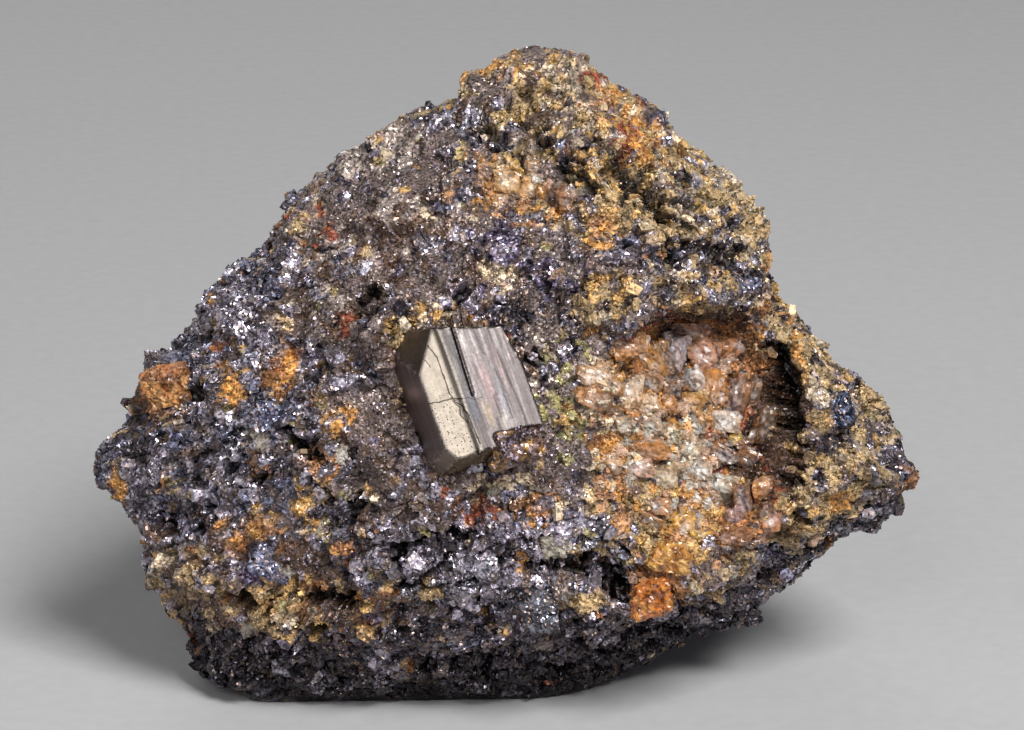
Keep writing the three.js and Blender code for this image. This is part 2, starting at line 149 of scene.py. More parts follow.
# Across, up, half length, half width, turn in degrees, height (below 0 is a pit or a crack).
FRONT_RELIEF = [
    (-1.9, 34.0, 1.1, 0.8, 30, -1.6),  # pit left of the cap
    (0.6, 32.9, 2.8, 0.5, -28, -0.9),  # gap under the cap
    (4.5, 34.6, 4.6, 2.6, -25, 0.8),  # cap
    (9.4, 31.2, 3.4, 2.0, -45, 0.9),  # cap shoulder
    (7.2, 29.0, 4.2, 0.6, -28, -1.1),  # ledge below the cap
    (11.8, 28.6, 3.6, 1.4, -35, 0.8),  # tilted slab
    (12.2, 26.9, 3.4, 0.5, -30, -1.0),  # gap under the slab
    (10.6, 26.0, 4.6, 1.3, -12, 1.2),  # brow over the hollow
    (18.2, 20.0, 1.6, 4.0, 25, 1.1),  # rim right of the hollow
    (20.6, 19.6, 1.6, 1.4, 0, -0.8),  # dent above the beak
    (11.5, 9.6, 4.6, 1.5, 12, 0.7),  # swell below the hollow
    (-16.6, 15.5, 1.8, 0.6, 12, -1.0),  # pit in the left flank
    (-11.8, 17.6, 0.9, 0.7, 0, -0.9),  # pit left of the crystal
    (-6.9, 24.6, 2.4, 1.2, 48, 1.5),  # collar above the crystal
    (-22.6, 9.4, 2.2, 0.6, -15, -1.2),  # notch in the left edge
    (-20.4, 7.6, 2.0, 1.3, 0, 0.8),  # lump under the notch
    (-5.2, 12.2, 3.6, 0.45, 8, -1.3),  # long crack
    (-4.2, 10.9, 2.6, 0.45, 38, -1.3),  # slanting crack
    (-1.5, 10.2, 3.0, 1.5, 5, 0.8),  # plates under the crystal
    (4.4, 10.7, 4.6, 0.45, -6, -1.2),  # bedding gap
    (4.0, 8.6, 5.0, 1.1, 2, 0.7),  # lower shelf
    (6.0, 9.4, 1.2, 0.6, -5, -1.0),  # gap beside the orange grain
    (-6.8, 7.6, 3.2, 0.8, 10, -1.0),  # hollow under the shelf
    (-14.0, 4.4, 4.2, 0.6, -20, -0.9),  # step in the left foot
]
EDGE_RELIEF = [
    (2.2, 37.2, 4.2, 2.4, 0, 0.8),  # crest
    (-1.6, 35.6, 1.8, 1.8, 0, 0.5),  # crest shoulder
    (18.8, 23.0, 2.6, 5.2, 30, -2.1),  # notch in the right edge
    (15.2, 28.2, 1.5, 1.5, 0, 0.4),  # bump at the right shoulder
    (12.6, 2.6, 5.0, 1.5, 26, -0.9),  # undercut at the right foot
    (-22.6, 17.6, 1.4, 1.6, 20, -0.3),  # dent under the knob
    (-24.8, 14.0, 1.8, 1.8, 0, 0.7),  # lump at the left tip
    (-17.6, 1.2, 2.6, 2.0, -30, 0.8),  # lump at the left foot
]
BACK_RELIEF = [
    (-4, 23, 9.0, 0.9, 14, -1.3),  # back ledge
    (6, 17, 4.5, 3.2, 30, 1.0),  # back swell
    (-11, 13, 4.2, 2.4, -20, -1.2),  # back scar
    (-3, 29, 3.6, 2.2, 0, 0.9),  # back lump
    (5, 8, 7.5, 0.8, -8, -1.1),  # back low step
]
print(len(ROCK_CORNERS), "corners,", len(FRONT_RELIEF + EDGE_RELIEF + BACK_RELIEF), "features")

# %% [markdown]
# ## The rock's skin
# Every direction out of the rock's heart meets its surface once, so a sphere of directions can be
# pushed out to it. The sphere starts as a cube whose sides are fine grids, because that gives evenly
# sized faces and no poles. Its points are crowded towards the crystal's side, which is seen most.

# %% Push a sphere of directions out to the rock
HOLLOW_AT, HOLLOW_REACH = (10.9, 18.3), (6.2, 7.0)
HOLLOW_DEPTH, HOLLOW_SHALLOW_SHARE = 5.0, 0.22
HOLLOW_INWARD = np.array([-0.2, 0.97, -0.12]) / np.linalg.norm([-0.2, 0.97, -0.12])
POCKET_AT, POCKET_REACH, POCKET_DEPTH = (0.9, 31.2), (2.9, 1.5), 1.3


def cube_sphere(steps):
    """Even directions in all round, and the quads between them, facing outwards."""
    line = np.tan(np.linspace(-1, 1, steps + 1) * math.pi / 4)
    u, v = np.meshgrid(line, line, indexing="ij")
    i, j = np.meshgrid(np.arange(steps), np.arange(steps), indexing="ij")
    start = (i * (steps + 1) + j).ravel()
    corners, quads = [], []
    for axis, side in product(range(3), (1, -1)):
        grid = np.empty((steps + 1, steps + 1, 3))
        grid[..., axis], grid[..., axis - 2], grid[..., axis - 1] = side, u, v
        ring = [start, start + steps + 1, start + steps + 2, start + 1]
        quads.append(np.stack(ring[::side], axis=1) + len(corners) * (steps + 1) ** 2)
        corners.append(grid.reshape(-1, 3))
    points = np.concatenate(corners)
    _, keep, place = np.unique(np.round(points, 6), axis=0, return_index=True, return_inverse=True)
    points = points[keep] / np.linalg.norm(points[keep], axis=1, keepdims=True)
    return points, place.reshape(-1)[np.concatenate(quads)]


def worn_reach(directions, normals, distances, rounding):
    """How far a block between flat faces reaches in each direction, its edges worn round."""
    facing = directions @ normals.T
    reach = np.where(facing > 1e-6, distances / np.maximum(facing, 1e-6), 1e6)
    return -rounding * np.log(np.exp(-reach / rounding).sum(axis=1))


def hull_faces(corners, heart):
    """The flat faces round some corners: their normals, and their distances from the heart."""
    hull = bmesh.new()
    for corner in corners:
        hull.verts.new(corner)
    bmesh.ops.convex_hull(hull, input=hull.verts)
    hull.normal_update()
    normals = np.array([face.normal for face in hull.faces])
    distances = np.array([face.normal.dot(face.verts[0].co - Vector(heart)) for face in hull.faces])
    hull.free()
    return normals * np.sign(distances)[:, None], np.abs(distances)


def ellipse_distance(points, across, up, length, width, turn=0):
    """How far out points lie from the middle of an ellipse on the picture's plane. 1 is on its edge."""
    c, s = math.cos(math.radians(turn)), math.sin(math.radians(turn))
    x, z = points[:, 0] - across, points[:, 2] - up
    return np.hypot((x * c + z * s) / length, (z * c - x * s) / width)


def feature_height(points, *ellipse_and_height):
    """Full height in a feature's middle, none beyond its reach."""
    *ellipse, height = ellipse_and_height
    return height * (1 - smooth_step(0.35, 1.25, ellipse_distance(points, *ellipse)))


def hollow_depth(points):
    """How deep the hollow is at each point: shallow at its lower left, deepest at its upper right."""
    across = (points[:, 0] - HOLLOW_AT[0]) / HOLLOW_REACH[0]
    up = (points[:, 2] - HOLLOW_AT[1]) / HOLLOW_REACH[1]
    inside = 1 - smooth_step(0.72, 1.04, np.hypot(across, up))
    deepening = smooth_step(-0.9, 0.55, across * 0.8 + up * 0.6)
    return HOLLOW_DEPTH * inside * (HOLLOW_SHALLOW_SHARE + (1 - HOLLOW_SHALLOW_SHARE) * deepening)


def rock_points(directions):
    """The rock's coarse skin, as in the CAD model."""
    normals, distances = hull_faces(ROCK_CORNERS, ROCK_HEART)
    sides = normals[:, 2] > -0.999
    reach = worn_reach(directions, normals[sides], distances[sides], EDGE_ROUNDING)
    down = np.minimum(directions[:, 2], -1e-6)
    reach = np.where(directions[:, 2] < 0, np.minimum(reach, -ROCK_HEART[2] / down), reach)
    points = directions * reach[:, None] + ROCK_HEART
    front = smooth_step(0.05, 0.25, -directions[:, 1])
    back = smooth_step(0.05, 0.25, directions[:, 1])
    foot = smooth_step(0.1, FOOT_FADE, points[:, 2])
    hollow = hollow_depth(points) * front
    pocket = ellipse_distance(points, *POCKET_AT, *POCKET_REACH)
    lift = chip_height(points, 4.2, 0.24, 0.5) + chip_height(points, 2.1, 0.22, 0.22)
    lift *= 1 - 0.7 * smooth_step(0.2, 1.5, hollow)
    lift += sum(feature_height(points, *row) for row in FRONT_RELIEF) * front
    lift += sum(feature_height(points, *row) for row in BACK_RELIEF) * back
    lift += sum(feature_height(points, *row) for row in EDGE_RELIEF)
    lift -= POCKET_DEPTH * (1 - smooth_step(0.6, 1.1, pocket)) * front
    points = points + directions * (lift * foot)[:, None]
    points = points + HOLLOW_INWARD * (hollow * foot)[:, None]
    points[:, 2] = np.maximum(points[:, 2], 0)
    return points


SKIN_STEPS = 126
SKIN_CROWDING = 0.38
directions, skin_quads = cube_sphere(SKIN_STEPS)
directions[:, 1] -= SKIN_CROWDING
directions /= np.linalg.norm(directions, axis=1, keepdims=True)
skin = rock_points(directions)
print(len(skin), "points on the skin; size", np.round(skin.max(axis=0) - skin.min(axis=0), 1), "mm")

# %% [markdown]
# ## Which mineral is where
# The lump is a mixture. Blue-grey sulphide covers the left and the bottom, fine taupe mica the upper left
# and the ground round the crystal, and ochre the cap and the right-hand ridge. Rusty patches sit between
# them. Each zone and patch is a named ellipse here, with a mineral. Every small cell of rock then draws
# its mineral, and the ellipses only shift the odds, so that their edges break up as real ones do.

# %% List the minerals and their patches
# Finish group, usual share, and colour.
MINERALS = {
    "steel": ("sulphide", 0.42, "#b4adb9"),
    "blue": ("sulphide", 0.09, "#9092a8"),
    "violet": ("sulphide", 0.05, "#968ca4"),
    "dark": ("sulphide", 0.22, "#5d5860"),
    "bright": ("sulphide", 0.06, "#dcd8e6"),
    "taupe": ("mica", 0.34, "#76665f"),
    "brown": ("mica", 0.16, "#6a5343"),
    "pale": ("mica", 0.06, "#ad9d92"),
    "olive": ("mica", 0.03, "#958b5c"),
    "khaki": ("ochre", 0.08, "#b0956c"),
    "ochre": ("ochre", 0.03, "#cfa568"),
    "cream": ("ochre", 0.02, "#dec9ab"),
    "rust": ("rust", 0.03, "#9a683f"),
    "orange": ("rust", 0.02, "#cb924e"),
    "salmon": ("rust", 0.01, "#bd8c66"),
    "red": ("rust", 0.012, "#8e4a34"),
    "deep": ("rust", 0.01, "#341c14"),
    "quartz": ("quartz", 0.02, "#d2c8ba"),
    "pink": ("quartz", 0.004, "#cfaa92"),
}
GROUPS = ("sulphide", "mica", "ochre", "rust", "quartz")

# Each mineral's ellipses: across, up, half width, half height, turn in degrees, and how strongly one
# shifts the odds.
ZONES = {
    "khaki": [(1.5, 36.5, 5, 2.6, -5, 4.0), (15, 25, 3, 5, 25, 3.0), (5.5, 33.5, 7.5, 4.6, -28, 3.6),
              (11.5, 29, 5, 3.6, -40, 2.8), (19, 17, 5, 5.5, -30, 3.0), (-17, 7, 6, 3, -15, 3.0),
              (13, 8.6, 5, 2, 25, 0.6)],
    "taupe": [(1.5, 36.5, 5, 2.6, -5, 3.0), (12.5, 28, 6, 4.5, -40, 1.8), (5, 26, 6, 3.4, -20, 1.6),
              (-7, 28, 8, 4, 32, 3.4), (-6, 20, 5, 8, 0, 2.0), (3.6, 20, 3.6, 7, 0, 3.2),
              (5, 34, 6, 4, -30, 1.8), (20, 16, 5, 4, -30, 1.2), (12, 9.5, 6, 2.6, 20, 1.2)],
    "brown": [(0.5, 35, 4, 2, 0, 2.0), (-6, 27, 6, 4, 30, 2.0), (-5, 20, 6, 8, 0, 0.9),
              (1, 26, 6, 3, 0, 0.6), (8, 31, 6, 3, -35, 0.9), (-14, 8, 8, 3.8, -10, 3.4),
              (12, 9.5, 5, 2.4, 20, 1.0)],
    "cream": [(12.5, 28, 6, 4.5, -40, 1.6), (5.5, 34, 5.5, 3.2, -30, 0.7), (12, 28.5, 4, 2.6, -40, 1.2),
              (18, 18, 3, 3, 0, 0.4)],
    "steel": [(-17, 17, 8, 9, 0, 1.0), (0, 11.5, 9, 3.5, 0, 1.6), (2, 4, 18, 4, 0, 0.7),
              (19.5, 8.5, 5, 2, 38, 0.8)],
    "blue": [(-18, 16, 6, 7, 0, 0.5)],
    # Painted shade: the wide dark row along the bottom and the two under the beak and the right foot darken
    # the rock's underside.
    "dark": [(-18, 14, 7, 6, 0, 0.3), (-3, 11, 7, 3, 0, 0.9), (-2, 2.6, 20, 4.4, 0, 9.0),
             (2, 26.5, 6, 2, 0, 0.5), (20, 16, 5, 5, -30, 0.8), (20, 8.5, 5.5, 2.8, 38, 3.2),
             (14, 4.5, 6, 2.4, 20, 5.0)],
    "bright": [(-2, 11, 6, 3, 0, 0.3)],
    "violet": [(-4, 6, 8, 3, 0, 0.3), (0, 27, 6, 2.5, -10, 0.4)],
    "pale": [(-8, 29, 6, 3, 32, 0.6), (5, 34, 6, 4, -30, 0.7), (11.5, 29, 5, 3.6, -40, 0.6),
             (11, 28.5, 6, 3, -30, 1.0)],
    "olive": [(3.3, 20, 2, 4, 0, 1.0)],
    "ochre": [(5, 34, 5.5, 3.6, -30, 2.6), (11, 29.5, 4, 2.6, -40, 1.6), (18.5, 15, 3, 4, -30, 0.8),
              (-14, 8, 6, 3, -12, 0.9)],
    "rust": [(-14, 9, 7, 3, -12, 0.8)],
}
PATCHES = {
    "rust": [(-21.9, 18.6, 1.6, 1.8, 0, 3), (-13.6, 21.3, 1.1, 1.5, 0, 5), (1.2, 14.0, 1.0, 1.2, 0, 4),
             (1.2, 14.7, 1.3, 0.4, 8, 5), (8.4, 9.6, 1.9, 1.3, 0, 6), (7.4, 33.2, 0.9, 1.3, -20, 5),
             (15.1, 24.6, 0.7, 1.5, -20, 7), (24.2, 12.8, 0.7, 0.8, 0, 14), (-19.0, 23.8, 0.6, 1.4, -40, 7),
             (8.8, 32.2, 1.4, 0.6, -45, 3)],
    "salmon": [(-21.9, 17.8, 1.0, 0.8, 0, 4), (-11.0, 16.8, 1.0, 1.1, 0, 12), (-15.4, 12.0, 1.6, 0.6, 5, 5),
               (5.2, 34.9, 1.0, 0.7, 0, 8), (5.2, 29.2, 1.0, 0.5, 0, 5), (15.4, 24.0, 0.6, 1.2, -20, 5),
               (-3.9, 31.2, 0.9, 0.4, 10, 4)],
    "brown": [(-21.9, 18.4, 1.8, 2.0, 0, 5), (1.9, 34.8, 1.2, 1.0, 0, 6), (-3.5, 31.5, 1.2, 0.5, 10, 4)],
    "red": [(-11.4, 28.4, 0.8, 1.0, 0, 6), (-2.2, 14.1, 1.3, 0.8, 0, 4), (5.5, 35.5, 1.3, 0.7, -20, 26),
            (7.2, 33.8, 0.8, 1.3, -20, 24)],
    "orange": [(-16.3, 20.0, 1.0, 0.7, 0, 9), (-13.4, 21.6, 0.8, 1.1, 0, 3), (-10.8, 16.9, 0.9, 0.9, 0, 6),
               (-10.0, 19.5, 1.1, 0.45, 25, 9), (-15.8, 11.9, 1.9, 0.7, 5, 7),
               (-23.7, 12.7, 0.5, 1.3, 0, 9), (-22.4, 8.8, 0.7, 0.5, -20, 8), (1.5, 13.8, 0.7, 1.1, 0, 7),
               (0.1, 11.6, 0.7, 0.8, 0, 4), (1.7, 6.8, 0.6, 0.6, 0, 6), (-0.4, 36.7, 1.6, 0.7, 10, 9),
               (6.2, 35.0, 1.3, 0.6, -35, 18), (7.5, 33.0, 0.9, 1.1, -20, 22), (8.3, 32.7, 0.8, 0.7, 0, 8),
               (5.5, 29.1, 1.2, 0.6, 0, 9), (17.2, 21.8, 0.6, 1.1, 0, 8), (19.3, 13.0, 1.1, 0.9, 0, 7),
               (4.9, 24.0, 0.6, 0.6, 0, 5), (-18.2, 24.9, 0.7, 2.0, -40, 12), (2.6, 30.0, 0.7, 0.5, 0, 4),
               (-12.3, 13.6, 0.6, 1.0, 10, 3)],
    "deep": [(1.9, 34.8, 1.0, 0.8, 0, 4)],
    "ochre": [(13.4, 27.9, 1.6, 2.3, -30, 2), (11.0, 25.7, 3.0, 0.9, -10, 4), (5.7, 26.0, 2.0, 1.4, 0, 3),
              (16.5, 20.0, 1.3, 1.7, -20, 4), (17.4, 12.2, 2.0, 1.2, 25, 2), (-5.3, 25.2, 2.3, 0.7, 8, 5),
              (3.3, 20.4, 0.8, 2.2, 0, 1.2), (-16.3, 7.8, 1.8, 0.7, -22, 4), (-13.5, 5.9, 2.7, 1.0, 8, 5),
              (-12.5, 14.2, 0.8, 1.5, 10, 4)],
    "khaki": [(11.0, 25.7, 3.2, 1.1, -10, 5), (5.4, 25.8, 2.2, 1.6, 0, 3), (17.2, 11.9, 2.4, 1.7, 25, 4),
              (-6.9, 23.8, 1.1, 0.7, 0, 4), (-16.5, 7.8, 2.1, 0.9, -22, 4), (-9.4, 8.8, 1.0, 0.7, 0, 4),
              (-4.8, 9.2, 0.8, 1.3, 20, 4), (4.6, 8.5, 1.2, 0.6, 0, 3), (15.0, 6.4, 2.4, 0.9, 25, 3)],
    "cream": [(-5.5, 25.1, 2.4, 0.7, 8, 6), (-21.2, 8.1, 1.2, 0.9, 0, 9), (-13.2, 6.4, 1.6, 0.6, 8, 2),
              (-4.7, 30.5, 0.4, 0.5, 0, 4), (-0.7, 27.4, 1.0, 0.8, -30, 6), (-0.7, 16.0, 1.8, 0.5, 0, 3),
              (8.4, 31.9, 1.0, 0.8, 0, 6), (3.8, 35.1, 1.2, 1.0, 0, 4), (4.3, 36.5, 1.1, 0.7, 0, 4)],
    "olive": [(3.1, 19.9, 1.2, 3.5, 0, 3), (-14.0, 7.6, 1.1, 0.7, 0, 5)],
    "quartz": [(4.5, 32.0, 0.8, 0.6, 0, 9), (-9.7, 17.4, 0.6, 0.5, 0, 4), (2.6, 11.9, 1.0, 0.8, 0, 3)],
    "steel": [(-17.1, 24.0, 1.9, 1.9, 0, 5), (8.7, 28.0, 3.7, 0.8, -5, 5), (13.3, 26.1, 2.2, 1.2, -30, 8),
              (4.3, 12.9, 3.4, 1.3, -5, 7), (-4.2, 10.8, 3.4, 1.5, 5, 4), (-9.8, 22.3, 1.8, 1.0, 0, 4),
              (13.5, 5.2, 2.2, 0.6, 15, 5), (21.6, 10.7, 1.8, 0.6, 35, 3)],
    "bright": [(-17.1, 24.2, 1.5, 1.5, 0, 1.5), (11.5, 27, 4, 1.4, -30, 2), (4.3, 12.9, 3.2, 1.2, -5, 2.5),
               (-3.0, 11.0, 2.6, 1.2, 5, 1.2), (6.2, 33.4, 0.6, 0.4, -20, 8),
               (-17.6, 14.8, 2.4, 2.2, 0, 0.8)],
    "blue": [(-14.9, 25.0, 1.0, 0.7, 0, 5), (8.7, 28.0, 3.7, 0.8, -5, 5), (13.3, 26.1, 2.2, 1.2, -30, 4),
             (4.6, 12.8, 3.0, 1.1, -5, 1.5), (-0.3, 14.3, 0.8, 0.7, 0, 5), (-15.1, 19.5, 2.0, 1.2, 0, 2)],
    "dark": [(13.3, 26.1, 2.4, 1.3, -30, 4), (1.7, 7.9, 1.1, 1.5, 0, 5)],
    "violet": [(-0.7, 28.6, 1.4, 0.9, -20, 5), (2.4, 26.6, 1.6, 1.0, -20, 3), (-14.9, 9.0, 1.1, 1.0, 0, 9),
               (-21.7, 11.2, 0.8, 0.7, 0, 9)],
    "pale": [(-8.8, 31.6, 2.0, 1.0, 10, 3), (-6.7, 32.5, 1.0, 0.7, 0, 3), (5.2, 14.6, 1.4, 0.8, 0, 4),
             (7.5, 15.5, 1.2, 0.7, 0, 3), (1.7, 9.2, 1.8, 0.5, 0, 3)],
    "pink": [(-0.7, 27.4, 0.7, 0.6, -40, 5)],
}
# The upper pocket's rim, and the hollow with its bright floor, rusty band and dark walls, partly painted
# shade.
HOLLOW_PATCHES = {
    "brown": [(3.2, 31.0, 1.2, 1.0, 0, 4), (13.5, 16.5, 2.4, 3.4, 0, 30), (15.6, 17.0, 1.4, 3.4, 5, 30),
              (14.6, 15.8, 1.2, 1.6, 0, 14), (10.5, 17, 4.2, 5.2, 0, 9)],
    "orange": [(0.0, 30.9, 2.0, 1.0, 0, 5), (8.6, 21, 3, 2.6, 0, 16), (7.6, 17.0, 3.2, 0.9, -20, 30),
               (9.5, 16.0, 4.4, 4.2, -40, 14), (7.6, 22.2, 1.8, 1.6, 0, 24)],
    "salmon": [(0.4, 31.0, 2.4, 1.2, 0, 5), (9.0, 15.5, 4.2, 4.2, -40, 12), (5.6, 20.2, 1.6, 1.8, 0, 10)],
    "rust": [(10.5, 20.6, 4.6, 3.0, 0, 40), (7.6, 16.9, 3.0, 0.8, -20, 26), (10.5, 16.5, 5.0, 5.4, 0, 5),
             (14.2, 12.2, 1.8, 1.4, 0, 14)],
    # Painted shade: the deep rows darken the hollow under the brow and on its right wall.
    "deep": [(10.5, 20.6, 4.4, 2.8, 0, 22), (13.6, 16.5, 2.2, 3.2, 0, 18), (11.0, 24.0, 3.6, 0.8, -5, 60),
             (16.2, 19.2, 1.1, 2.8, 8, 90)],
    "red": [(13.6, 16.0, 2.2, 3.2, 0, 12), (8.6, 23.9, 2.4, 0.7, 10, 40), (11.5, 22.8, 2.4, 0.8, -15, 20)],
    "khaki": [(7.2, 14.2, 3, 2.2, -30, 14)],
    "cream": [(8.5, 16.5, 3.6, 3.6, -40, 12), (5.5, 20.6, 1.5, 1.6, 0, 14)],
    "pink": [(10, 17, 4.2, 4.6, 0, 12)],
    "quartz": [(10.5, 17, 4.0, 4.4, 0, 12)],
    "ochre": [(10.5, 12.8, 3.4, 1.8, 15, 12)],
}
for title, table in {"zones": ZONES, "patches": PATCHES, "hollow patches": HOLLOW_PATCHES}.items():
    print(sum(len(rows) for rows in table.values()), title, "of", len(table), "minerals")

# %% [markdown]
# The draw itself: the odds of all minerals are added up at each point, and the cell's own number picks
# one of them. Cells of 1.35 mm make the mineral patches, and a share of cells of 0.6 mm breaks them up.
# The side that the photograph doesn't show gets wide irregular zones of the same minerals.

# %% Draw each point's mineral
PATCH_CELL, SPECK_CELL, WIDE_CELL, FAR_CELL = 1.35, 0.6, 3.1, 7.5
BY_PATCH_SHARE = 0.52
SHAKE_MM = 0.7


def hex_to_linear(code):
    """sRGB hex to the linear red, green and blue that Blender works in."""
    channels = [int(code[n:n + 2], 16) / 255 for n in (1, 3, 5)]
    return [c / 12.92 if c <= 0.04045 else ((c + 0.055) / 1.055) ** 2.4 for c in channels]


def ellipse_share(points, *ellipse):
    """1 well inside an ellipse, 0 outside it."""
    return 1 - smooth_step(0.7, 1.15, ellipse_distance(points, *ellipse))


patch_cell, _, patch_near, patch_next = nearest_cells(skin, PATCH_CELL)
speck_cell = nearest_cells(skin, SPECK_CELL)[0]
wide_cell = nearest_cells(skin, WIDE_CELL)[0]
far_cell = nearest_cells(skin, FAR_CELL)[0]
front = smooth_step(-0.15, 0.2, -directions[:, 1])
near_front = smooth_step(-0.6, -0.28, -directions[:, 1])
# Each speck looks itself up a little aside, which frays the ellipses' edges.
shaken = skin + (np.stack([cell_value(speck_cell, 11 + c) for c in range(3)], axis=1) - 0.5) * SHAKE_MM

names = list(MINERALS)
odds = np.empty((len(skin), len(names)))
for n, (group, share, _) in enumerate(MINERALS.values()):
    odds[:, n] = share * (0.15 + 1.7 * cell_value(wide_cell, 20 + n) ** 1.5)
    odds[:, n] += share * 2 * (1 - near_front) * cell_value(far_cell, 40 + n) ** 2
for table in (ZONES, PATCHES, HOLLOW_PATCHES):
    for mineral, rows in table.items():
        n = names.index(mineral)
        patchy = 0.3 + 1.4 * cell_value(wide_cell, 20 + n) if table is ZONES else 1
        for *ellipse, strength in rows:
            odds[:, n] += ellipse_share(shaken, *ellipse) * strength * near_front * patchy
limits = np.cumsum(odds, axis=1)
by_patch = cell_value(speck_cell, 9) < BY_PATCH_SHARE
draw = np.where(by_patch, cell_value(patch_cell, 8), cell_value(speck_cell, 8)) * limits[:, -1]
mineral_at = np.minimum((draw[:, None] > limits).sum(axis=1), len(names) - 1)
group_at = np.array([GROUPS.index(MINERALS[name][0]) for name in names])[mineral_at]
tint = np.array([hex_to_linear(MINERALS[name][2]) for name in names])[mineral_at]
# Every speck and every patch is a little darker or lighter than its mineral.
tint *= ((0.65 + 0.7 * cell_value(speck_cell, 10)) * (0.72 + 0.5 * cell_value(patch_cell, 12)))[:, None]
for n, group in enumerate(GROUPS):
    print(f"{group}: {np.mean(group_at == n):.0%} of the skin")

# %% [markdown]
# ## Fine relief
# Sulphide breaks along its cleavage into blocks with deep crevices between them, mica is finer and
# smoother, and the rusty patches are crumbly. So each mineral gets its own share of two sizes of chips
# and of the crevices. Cracks and pits that the photograph shows singly are added by name.

# %% Carve crevices, cracks and pits
# Across, up, half length, half width, turn, depth.
CRACKS = [
    (-2.0, 34.4, 0.6, 0.5, 0, 1.1), (-0.7, 35.0, 0.6, 0.3, 20, 0.8), (0.4, 34.4, 0.4, 0.4, 0, 0.7),
    (-0.9, 33.6, 0.9, 0.35, -35, 0.9), (7.4, 31.9, 1.9, 0.26, -35, 0.8), (10.3, 30.5, 0.9, 0.3, -25, 0.8),
    (11.9, 29.7, 0.5, 0.35, 0, 0.9), (10.0, 29.5, 1.7, 0.24, -18, 0.7), (13.6, 28.3, 1.0, 0.22, -50, 0.5),
    (-6.2, 12.1, 1.3, 0.24, 20, 0.9), (-4.1, 12.9, 1.5, 0.24, 5, 0.9), (-3.6, 11.9, 1.4, 0.22, 45, 0.9),
    (-1.1, 11.8, 0.8, 0.22, 0, 0.7), (4.4, 10.4, 2.4, 0.26, -5, 1.0), (6.2, 9.3, 0.5, 0.4, 0, 1.1),
    (-19.3, 18.7, 1.2, 0.24, 40, 0.7), (-21.2, 11.1, 1.2, 0.24, -20, 0.8), (-16.2, 7.2, 1.7, 0.3, -25, 1.0),
    (-10.8, 8.2, 1.9, 0.3, 8, 0.9), (5.2, 11.9, 1.9, 0.22, -15, 0.6), (17.0, 15.5, 0.9, 0.3, 60, 0.9),
    (20.1, 16.7, 1.1, 0.24, -40, 0.7), (21.4, 13.8, 1.3, 0.24, -35, 0.7), (-8.3, 25.6, 1.4, 0.22, 30, 0.6),
    (-12.4, 17.8, 1.5, 0.24, -30, 0.8), (-14.8, 15.2, 1.3, 0.24, 20, 0.8), (0.5, 8.7, 1.6, 0.22, 8, 0.8),
    (11.1, 8.4, 1.8, 0.24, 12, 0.8), (-18.3, 12.6, 1.0, 0.3, -15, 0.8), (-9.0, 14.4, 0.9, 0.3, 35, 0.8),
    # The row at 16.2 across and 19.4 up lies in the hollow's right wall: it cuts the wall deeper, and its
    # painted shade darkens it.
    (12.9, 26.9, 1.6, 0.3, -30, 0.6), (16.2, 19.4, 0.7, 2.3, 6, 1.0), (-11.6, 6.0, 1.3, 0.26, -30, 0.8),
    (15.9, 20.8, 0.5, 0.9, 10, 0.9), (2.9, 35.8, 0.7, 0.24, -30, 0.9), (4.0, 32.1, 1.4, 0.42, -28, 1.1),
    (8.3, 30.7, 1.5, 0.28, -25, 1.1), (10.9, 30.0, 1.3, 0.28, -28, 1.1), (13.0, 28.5, 0.7, 0.25, -45, 1.0),
    (10.3, 28.3, 1.1, 0.25, -20, 0.9), (6.3, 31.9, 0.9, 0.25, -40, 0.8), (1.6, 33.6, 0.8, 0.3, -30, 0.9),
    (5.4, 33.5, 0.8, 0.22, -20, 0.7), (8.9, 32.6, 0.7, 0.2, -40, 0.7), (-0.2, 36.2, 0.6, 0.2, 10, 0.6),
]
# Chips and crevices of each finish group: share of the large chips, the small chips, crevice depth.
BREAKS = {"sulphide": (0.55, 0.4, 0.1), "mica": (0.3, 0.25, 0.03), "ochre": (0.5, 0.5, 0.08),
          "rust": (0.45, 0.4, 0.06), "quartz": (0.5, 0.5, 0.08)}
# Slope of the large and the small chips, and the step between two of them in mm.
LARGE_CHIPS, SMALL_CHIPS = (0.3, 0.26), (0.34, 0.14)
# The slabs' dip in degrees, and their length and thickness in mm. Then the step between two slabs in mm,
# the share of it on the left, and how many mm a gap, and a listed crack of depth 1, go down.
LEFT_BEDS, RIGHT_BEDS = (12, 2.6, 1.5), (-33, 3.6, 1.5)
SLAB_STEP, LEFT_SHARE, SLAB_GAP_DEPTH, CRACK_DEPTH = 0.7, 0.55, 0.55, 1.5


def quad_normals(points, quads):
    """Each quad's outward normal from its diagonals, as long as twice the quad's area."""
    a, b, c, d = (points[quads[:, n]] for n in range(4))
    return np.cross(c - a, d - b)


def corner_normals(points, quads):
    """Each point's outward normal, from the quads round it."""
    faces = quad_normals(points, quads)
    total = np.zeros_like(points)
    for n in range(4):
        np.add.at(total, quads[:, n], faces)
    return total / np.maximum(np.linalg.norm(total, axis=1, keepdims=True), 1e-12)


def evened(values, quads, rounds):
    """Values at the points, averaged with their neighbours' some times over."""
    around = np.bincount(quads.ravel(), minlength=len(values))[:, None]
    for _ in range(rounds):
        middles = values[quads].mean(axis=1)
        sums = [np.bincount(quads.ravel(), np.repeat(column, 4), len(values)) for column in middles.T]
        values = np.stack(sums, axis=1) / around
    return values


def ledges(points, turn, length, width):
    """Slabs lying at an angle: each one's step and slope, and how near a point is to the gap below it."""
    c, s = math.cos(math.radians(turn)), math.sin(math.radians(turn))
    x, y, z = points.T
    bed = np.stack([(x * c + z * s) * width / length, y * 0.7, z * c - x * s], axis=1)
    cell, offset, near, following = nearest_cells(bed, width)
    return (cell_value(cell, 34) - 0.5) + offset[:, 2] * 0.5, 1 - smooth_step(0.02, 0.14, following - near)


